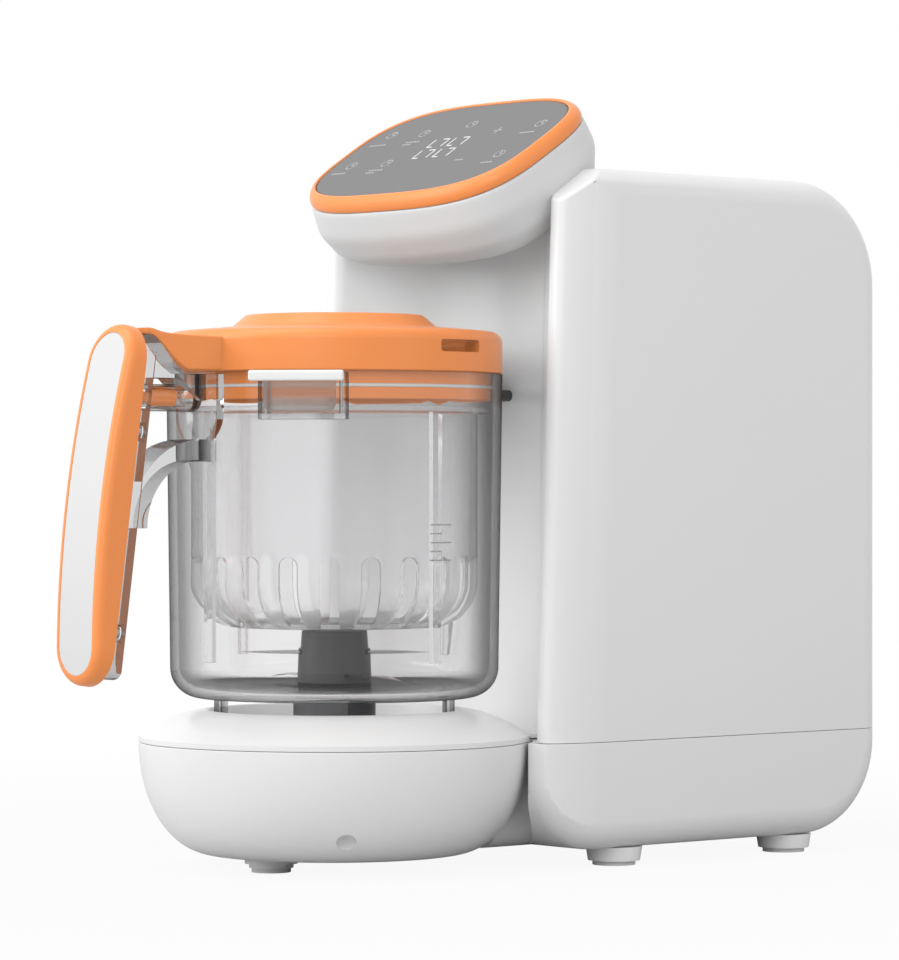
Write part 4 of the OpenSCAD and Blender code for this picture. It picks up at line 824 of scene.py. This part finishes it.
# %% Bezel ring and glass
BEZEL_H = 5.1
BEZEL_SIDE = [(1.2, 0.25), (2.1, -0.6), (2.8, -1.7), (3.2, -3.0), (3.2, -4.5), (2.8, -BEZEL_H)]
BEZEL_STEPS = 4
BEZEL_EDGE = [(0.15, 0), (0.4, 0.35)]
LEDGE = 2.5
GLASS_EDGE = 0.4
FIT = 0.15


def looped(rings):
    """A skin over rings whose last is joined to its first."""
    bm, first_rim, last_rim = ringed(rings)
    bmesh.ops.bridge_loops(bm, edges=first_rim + last_rim)
    bmesh.ops.recalc_face_normals(bm, faces=bm.faces)
    return bm


bezel_side = [(-LEDGE, -BEZEL_H), (-LEDGE, -GLASS_T), (FIT, -GLASS_T)] + BEZEL_EDGE
bezel = looped(oval_rings(bezel_side + smooth_line(BEZEL_SIDE, BEZEL_STEPS)))
settle("bezel_skin", moved(bezel, TO_HEAD), "base", "orange_plastic", ["bezel_ring"])
glass = capped(oval_rings([(0, -GLASS_T), (0, -GLASS_EDGE), (-GLASS_EDGE, 0)]))
settle("panel_glass_skin", moved(glass, TO_HEAD), "base", "panel_glass", ["touch_panel"])

# %% [markdown]
# The panel's digits, key signs and their captions are thin marks on the glass. The digits are
# white, the others fainter. All of them are strokes, so one small function draws them all.

# %% Digits on the panel
MARK_H = 0.1
MARK_SINK = 0.03
STROKE = 0.55
DIGITS_AT = Vector((0, 0.5))
DIGIT_STEP = 11
ROW_STEP = 8
HALVES = (-0.5, 0.5)
DIGIT_STROKES = [((-3.8, 2.6), (-3.8, -2.8)), ((-3.8, -2.8), (-1.2, -2.8)),
                 ((0.6, 2.8), (3.8, 2.8)), ((3.8, 2.8), (3.8, -2.4))]


def add_stroke(bm, start, stop, width):
    """A thin bar on the glass from one point to another."""
    along = Vector(stop) - Vector(start)
    made = bmesh.ops.create_cube(bm, size=1)["verts"]
    bmesh.ops.scale(bm, vec=(along.length + width, width, MARK_H), verts=made)
    turn = Matrix.Rotation(math.atan2(along.y, along.x), 3, "Z")
    bmesh.ops.rotate(bm, cent=(0, 0, 0), matrix=turn, verts=made)
    centre = (Vector(start) + Vector(stop)) / 2
    bmesh.ops.translate(bm, vec=(*centre, MARK_H / 2 - MARK_SINK), verts=made)


marks = bmesh.new()
for column in HALVES:
    for row in HALVES:
        corner = DIGITS_AT + Vector((column * DIGIT_STEP, row * ROW_STEP))
        for start, stop in DIGIT_STROKES:
            add_stroke(marks, corner + Vector(start), corner + Vector(stop), STROKE)
bright = finish("bright sign", (0.80, 0.80, 0.80), 0.4, 0.01)
settle("panel_digits", moved(marks, TO_HEAD), "base", "display", look=bright)

# %% Keys and captions
KEYS = [(-41.4, 14.4), (-41.6, -8.0), (-22, 13.4), (-21.4, -8.2), (0.5, 17.4), (40.4, -8.5),
        (41.8, 12.9)]
KEY_R = 2.3
KEY_SIDES = 12
PLUS_AT = Vector((21.3, 10.4))
MINUS_AT = Vector((20.5, -10.5))
SIGN_HALF = 2
CAPTIONS = [(-46.5, -36, 7.0), (-47, -37.6, -13.5), (-26, -18, 7.3), (-26, -20, 5.5), (-26, -17, -13.2),
            (-26, -20.5, -15), (37, 45.6, 6.7), (36.5, 43.8, -14.3)]
DASH = 0.2
DASH_H = 0.9
DASH_STEP = 1.6
keys = bmesh.new()
for left, right, height in CAPTIONS:
    for i in range(int((right - left) / DASH_STEP)):
        start = left + i * DASH_STEP
        add_stroke(keys, (start, height), (start + DASH, height), DASH_H)
for x, y in KEYS:
    ring = arc((x, y), KEY_R, 0, 2 * math.pi, KEY_SIDES)
    for i in range(KEY_SIDES):
        add_stroke(keys, ring[i], ring[i + 1], STROKE)
    add_stroke(keys, (x, y), (x, y + KEY_R), STROKE)
    add_stroke(keys, (x, y), (x + KEY_R / 2, y), STROKE)
across = Vector((SIGN_HALF, 0))
upward = Vector((0, SIGN_HALF))
for sign, half in ((PLUS_AT, across), (PLUS_AT, upward), (MINUS_AT, across)):
    add_stroke(keys, sign - half, sign + half, STROKE)
faint = finish("faint sign", (0.42, 0.42, 0.42), 0.4, 0.01)
settle("panel_keys", moved(keys, TO_HEAD), "base", "display", look=faint)

# %% [markdown]
# ## Lid
#
# The lid is turned like the bowl, from a section whose corners are rounded. Its raised middle, its
# side and the skirt that dips into the jug are all in that one section. The tail reaches out to
# the handle: a prism whose underside rises in a soft S and whose top dips before the tip.

# %% Section of the lid
LID_R = 58.7
LID_FOOT = 172.3
SKIRT_R = 54.7
LID_WALL = 2.4
SHOULDER = 186.5
CROWN_R = 31
CROWN_FOOT_R = 35.8
CROWN_FOOT = 188.5
LID_STEPS = 6


def filleted(corners, steps):
    """An outline whose corners, given as (x, y, radius), are rounded."""
    outline = []
    for i, (x, y, radius) in enumerate(corners):
        here = Vector((x, y))
        if not radius:
            outline.append(here)
            continue
        back = (Vector(corners[i - 1][:2]) - here).normalized()
        ahead = (Vector(corners[(i + 1) % len(corners)][:2]) - here).normalized()
        half = back.angle(ahead) / 2
        centre = here + (back + ahead).normalized() * radius / math.sin(half)
        start = (here + back * radius / math.tan(half) - centre).normalized()
        stop = (here + ahead * radius / math.tan(half) - centre).normalized()
        outline += [centre + start.slerp(stop, step / steps) * radius for step in range(steps + 1)]
    return outline


lid_low, lid_high = drawn_box("lid")
skirt_in = SKIRT_R - LID_WALL
ceiling = SHOULDER - LID_WALL
lid_outline = filleted([
    (0, lid_high.z, 0), (CROWN_R, lid_high.z, 2.2), (CROWN_FOOT_R, CROWN_FOOT, 2.5),
    (LID_R, SHOULDER, 4), (LID_R, LID_FOOT, 0.5), (SKIRT_R, LID_FOOT, 0.3), (SKIRT_R, lid_low.z, 0.5),
    (skirt_in, lid_low.z, 0.5), (skirt_in, ceiling, 2), (0, ceiling, 0)], LID_STEPS)
lid = turned(lid_outline)
print("section points:", len(lid_outline))

# %% Tail and vent
TAIL_HALF = 11
TAIL_TIP = -85.4
TAIL_UNDER = [(-54, 172.5), (-66, 172.5), (-70.5, 172.7), (-75, 175.8), (-79.5, 180.6), (-82.6, 183.3),
              (TAIL_TIP, 184.6)]
TAIL_TOP = [(TAIL_TIP, 186.4), (-83.5, 186.3), (-79, 185.0), (-72, 184.4), (-62, 184.0), (-54, 183.8)]
TAIL_STEPS = 5
TAIL_ROOT = -60
TAIL_TAPER = 0.42
TAIL_SOFT = 0.6
VENT_TURN = 99
VENT_HALF = 10
VENT_LOW = 178.9
VENT_HIGH = 183.1
VENT_CORNER = 1
VENT_STEPS = 4
VENT_DEEP = 8
tail_side = smooth_line(TAIL_UNDER, TAIL_STEPS) + smooth_line(TAIL_TOP, TAIL_STEPS)
tail = cross_prism(tail_side, -TAIL_HALF, TAIL_HALF)
for vert in tail.verts:
    vert.co.x *= 1 - TAIL_TAPER * max((vert.co.y - TAIL_ROOT) / (TAIL_TIP - TAIL_ROOT), 0)
soften(tail, flank_edges(tail), TAIL_SOFT, SOFT_STEPS)
lid = carve(lid, tail, "UNION")
vent_side = filleted([
    (-VENT_HALF, VENT_LOW, VENT_CORNER), (VENT_HALF, VENT_LOW, VENT_CORNER),
    (VENT_HALF, VENT_HIGH, VENT_CORNER), (-VENT_HALF, VENT_HIGH, VENT_CORNER)], VENT_STEPS)
vent = cross_prism(vent_side, SKIRT_R - VENT_DEEP, LID_R + CUT_OVER)
lid = carve(lid, moved(vent, toward(VENT_TURN)), "DIFFERENCE")
settle("lid_skin", lid, "lid", "orange_plastic", ["lid"])

# %% [markdown]
# ## Basket
#
# The basket hangs in the jug by its flange. It is turned as well, and its slots, which run from
# the bottom's round corner up to round ends, are cut in one go.

# %% Basket with its slots
BASKET_R = 50
BASKET_WALL = 1.8
BASKET_BOTTOM = 84
BASKET_ROUND = 16
BASKET_STEPS = 10
FLANGE_R = 54.9
FLANGE_T = 2
SLOT_COUNT = 22
SLOT_SHIFT = 0.5
SLOT_HALF = 3.25
SLOT_TOP = 109
SLOT_START = 37
basket_top = drawn_box("steam_basket")[1].z
flange_foot = basket_top - FLANGE_T
inside = BASKET_R - BASKET_WALL
basket_floor = BASKET_BOTTOM + BASKET_WALL
basket = turned(filleted([
    (0, BASKET_BOTTOM, 0), (BASKET_R, BASKET_BOTTOM, BASKET_ROUND), (BASKET_R, flange_foot, 0.6),
    (FLANGE_R, flange_foot, 0.4), (FLANGE_R, basket_top, 0.4), (inside, basket_top, 0.6),
    (inside, basket_floor, BASKET_ROUND - BASKET_WALL), (0, basket_floor, 0)], BASKET_STEPS))
slots = bmesh.new()
slot_side = [(-SLOT_HALF, BASKET_BOTTOM - CUT_OVER), (SLOT_HALF, BASKET_BOTTOM - CUT_OVER)]
slot_side += arc((0, SLOT_TOP - SLOT_HALF), SLOT_HALF, 0, math.pi, BASKET_STEPS)
for i in range(SLOT_COUNT):
    turn = Matrix.Rotation(2 * math.pi * (i + SLOT_SHIFT) / SLOT_COUNT, 4, "Z")
    one = moved(cross_prism(slot_side, SLOT_START, BASKET_R + CUT_OVER), turn)
    cut_mesh = bpy.data.meshes.new("slot")
    one.to_mesh(cut_mesh)
    one.free()
    slots.from_mesh(cut_mesh)
    bpy.data.meshes.remove(cut_mesh)
basket = settle("basket_skin", carve(basket, slots, "DIFFERENCE"), "jug", "basket_plastic",
                [node for node in nodes if "basket" in node])
let_light_through(basket)

# %% [markdown]
# ## Handle
#
# The handle's cover is a bar with round ends in a slightly bowed, slanted face. Rings of that bar
# are drawn from the flat back round the soft front edge into the pocket of the pale inlay, which
# is made from rings of the same bar that close towards the middle. The cover's round peg reaches
# back into the clear handle.

# %% Rings of a bowed bar
HANDLE_SLANT = math.radians(7.7)
HANDLE_FACE = (0, -107.39, 128)
BOW_R = 400
BAR_HALF = 12.5
BAR_LENGTH = 61
END_STEPS = 24
SIDE_STEPS = 24
TO_HANDLE = Matrix.Translation(HANDLE_FACE) @ Matrix.Rotation(-HANDLE_SLANT, 4, "X")


def bar_ring(inset, depth):
    """A ring inside the bar's edge, laid at a depth below the bowed face."""
    half = BAR_HALF - inset
    straight = BAR_LENGTH - BAR_HALF
    ring = arc((0, straight), half, 0, math.pi, END_STEPS)
    ring += [(-half, straight * (1 - 2 * i / SIDE_STEPS)) for i in range(1, SIDE_STEPS)]
    ring += [(-x, -z) for x, z in ring]
    return [(x, BOW_R - math.sqrt(BOW_R ** 2 - z * z) + depth, z) for x, z in ring]


# %% Cover with its peg
COVER_BACK = 10.4
BACK_INSET = 0.5
COVER_SOFT = 3
COVER_STEPS = 8
INLAY_INSET = 3
INLAY_T = 2.4
INLAY_SINK = 0.2
PEG_R = 2.9
PEG_SOFT = 0.6
PEG_HEIGHT = 163
PEG_ROOT = -94.4
PEG_TIP = -70.7
pocket = INLAY_INSET + FIT
cover_rings = [[(x, COVER_BACK, z) for x, y, z in bar_ring(inset, 0)] for inset in (BACK_INSET, 0)]
for inset, depth in arc((COVER_SOFT, COVER_SOFT), COVER_SOFT, math.pi, 3 * math.pi / 2, COVER_STEPS):
    cover_rings.append(bar_ring(inset, depth))
cover_rings += [bar_ring(pocket, INLAY_SINK), bar_ring(pocket, INLAY_SINK + INLAY_T + FIT)]
settle("cover_skin", moved(capped(cover_rings), TO_HANDLE), "jug", "orange_plastic", ["handle_cover"])
peg_stations = [(PEG_ROOT, PEG_R), (PEG_TIP - PEG_SOFT, PEG_R), (PEG_TIP, PEG_R - PEG_SOFT)]
settle("peg_skin", rod(0, PEG_HEIGHT, peg_stations), "jug", "orange_plastic")

# %% Inlay
INLAY_SOFT = 0.3
INLAY_INSETS = (INLAY_SOFT, 3, 6, BAR_HALF - INLAY_INSET)
inlay_rings = [bar_ring(INLAY_INSET, INLAY_SINK + depth) for depth in (INLAY_T, INLAY_SOFT)]
inlay_rings += [bar_ring(INLAY_INSET + inset, INLAY_SINK) for inset in INLAY_INSETS]
inlay, foot_rim, _ = ringed(inlay_rings)
bmesh.ops.contextual_create(inlay, geom=foot_rim)
bmesh.ops.remove_doubles(inlay, verts=inlay.verts, dist=TINY)
bmesh.ops.recalc_face_normals(inlay, faces=inlay.faces)
settle("inlay_skin", moved(inlay, TO_HANDLE), "jug", "inlay_plastic", ["handle_inlay"])

# %% [markdown]
# ## Blades
#
# Each blade is one leaf from tip to tip, thick along its middle and thin at its edge. Its rings
# are flat ellipses across the blade. The lower one has its tips bent down.

# %% Leaf-shaped blades
BLADE_LENGTH = 33
BLADE_HALF = 6
BLADE_THICK = 0.75
BLADE_STATIONS = 16
BLADE_SIDES = 12
WIDTH_POWER = 3
THICK_POWER = 4
TIP_WIDTH = 0.02
TIP_THICK = 0.1
BEND_START = 0.72


def leaf_blade(name, node, turn, bend):
    """A two-armed blade in place of a plain one, turned by degrees, with its tips bent down."""
    height = drawn(middle(node)).z
    circle = arc((0, 0), 1, 0, 2 * math.pi, BLADE_SIDES)[:-1]
    rings = []
    for i in range(-BLADE_STATIONS, BLADE_STATIONS + 1):
        share = abs(i) / BLADE_STATIONS
        x = BLADE_LENGTH * i / BLADE_STATIONS
        width = BLADE_HALF * max(1 - share ** WIDTH_POWER, TIP_WIDTH)
        thick = BLADE_THICK * max(1 - share ** THICK_POWER, TIP_THICK)
        lift = height - bend * max(share - BEND_START, 0) / (1 - BEND_START)
        rings.append([(x, y * width, lift + z * thick) for y, z in circle])
    blade = moved(capped(rings), Matrix.Rotation(math.radians(turn), 4, "Z"))
    settle(name, blade, "blade", "steel", [node])


leaf_blade("upper_leaf", "upper_blade", turn=49, bend=0)
leaf_blade("lower_leaf", "lower_blade", turn=4, bend=1.5)

# %% [markdown]
# ## Spout and scale
#
# A pale lip with softened edges caps the spout's front. The front below it is frosted in a patch
# with round lower corners, which shows grey.

# %% Lip and frosted patch of the spout
SPOUT_ANGLE = 41
LIP_IN = 66
LIP_OUT = 67.6
LIP_LEFT = -17.5
LIP_RIGHT = 15
LIP_SOFT = 0.7
PATCH_HALF = 12.4
PATCH_FOOT = 158.0
PATCH_HEAD = 169.2
PATCH_CORNER = 3
PATCH_STEPS = 8
PATCH_IN = 66.05
PATCH_OUT = 66.45
lip_low, lip_high = drawn_box("spout_lip")
lip = bmesh.new()
add_block(lip, (LIP_IN, LIP_LEFT, lip_low.z), (LIP_OUT, LIP_RIGHT, lip_high.z))
soften(lip, lip.edges[:], LIP_SOFT, SOFT_STEPS)
settle("lip_skin", moved(lip, toward(SPOUT_ANGLE)), "jug", "lip_plastic", ["spout_lip"])
patch_side = filleted([
    (-PATCH_HALF, PATCH_HEAD, 0), (-PATCH_HALF, PATCH_FOOT, PATCH_CORNER),
    (PATCH_HALF, PATCH_FOOT, PATCH_CORNER), (PATCH_HALF, PATCH_HEAD, 0)], PATCH_STEPS)
patch = moved(cross_prism(patch_side, PATCH_IN, PATCH_OUT), toward(SPOUT_ANGLE))
frosted = finish("frosted plastic", (0.62, 0.61, 0.60), 0.35, 0.002, **CLEAR)
let_light_through(settle("frosted_patch", patch, "jug", "lip_plastic", look=frosted))

# %% [markdown]
# A plain measuring scale is printed on the jug's right side: rows of short ticks, every other one
# longer, that follow the wall as it leans out towards the rim.

# %% Measuring scale
SCALE_LOW = 108
SCALE_STEP = 3
SCALE_ROWS = 5
SCALE_LEFT = -5
TICK_H = 0.5
TICK_T = 0.12
LONG_TICK = 9
SHORT_TICK = 5
FOOT_R = 57.3
FOOT_Z = 59.5
RIM_R = 58.7
RIM_Z = 172
scale = bmesh.new()
for row in range(SCALE_ROWS):
    height = SCALE_LOW + row * SCALE_STEP
    wall_r = FOOT_R + (RIM_R - FOOT_R) * (height - FOOT_Z) / (RIM_Z - FOOT_Z)
    width = SHORT_TICK if row % 2 else LONG_TICK
    corner = Vector((wall_r, SCALE_LEFT, height - TICK_H / 2))
    add_block(scale, corner, corner + Vector((TICK_T, width, TICK_H)))
print_grey = finish("grey print", (0.35, 0.35, 0.35), 0.5, 0.01)
settle("scale_print", scale, "jug", "clear_plastic", look=print_grey)

# %% [markdown]
# ## Floor
#
# The floor is a disc that fades into the white surround. To the camera it is mostly white by
# itself, and the rest is lit, so that the machine keeps a faint shadow to stand on.

# %% Floor
FLOOR_R = 0.9
FLOOR_SIDES = 64
FADE_START = 0.25 * FLOOR_R
FADE_END = 0.75 * FLOOR_R
GLOW_NEAR = 0.93
PAPER_GREY = 0.55
floor_mesh = bpy.data.meshes.new("floor")
disc = bmesh.new()
bmesh.ops.create_circle(disc, cap_ends=True, segments=FLOOR_SIDES, radius=FLOOR_R)
disc.to_mesh(floor_mesh)
disc.free()
floor = bpy.data.objects.new("floor", floor_mesh)
scene.collection.objects.link(floor)
paper = bpy.data.materials.new("white paper")
paper.use_nodes = True
tree = paper.node_tree
tree.nodes.clear()
away = tree.nodes.new("ShaderNodeVectorMath")
away.operation = "LENGTH"
tree.links.new(tree.nodes.new("ShaderNodeTexCoord").outputs["Object"], away.inputs[0])
fade = add_range(tree, away.outputs["Value"], From_Min=FADE_START, From_Max=FADE_END, To_Min=GLOW_NEAR)
lit = tree.nodes.new("ShaderNodeBsdfDiffuse")
lit.inputs["Color"].default_value = (PAPER_GREY, PAPER_GREY, PAPER_GREY, 1)
glow = tree.nodes.new("ShaderNodeEmission")
blend = tree.nodes.new("ShaderNodeMixShader")
tree.links.new(add_math(tree, "MULTIPLY", seen_straight(tree), fade), blend.inputs["Fac"])
tree.links.new(lit.outputs[0], blend.inputs[1])
tree.links.new(glow.outputs[0], blend.inputs[2])
paper_out = tree.nodes.new("ShaderNodeOutputMaterial")
tree.links.new(blend.outputs[0], paper_out.inputs["Surface"])
floor_mesh.materials.append(paper)
print("floor:", FLOOR_SIDES, "sides")
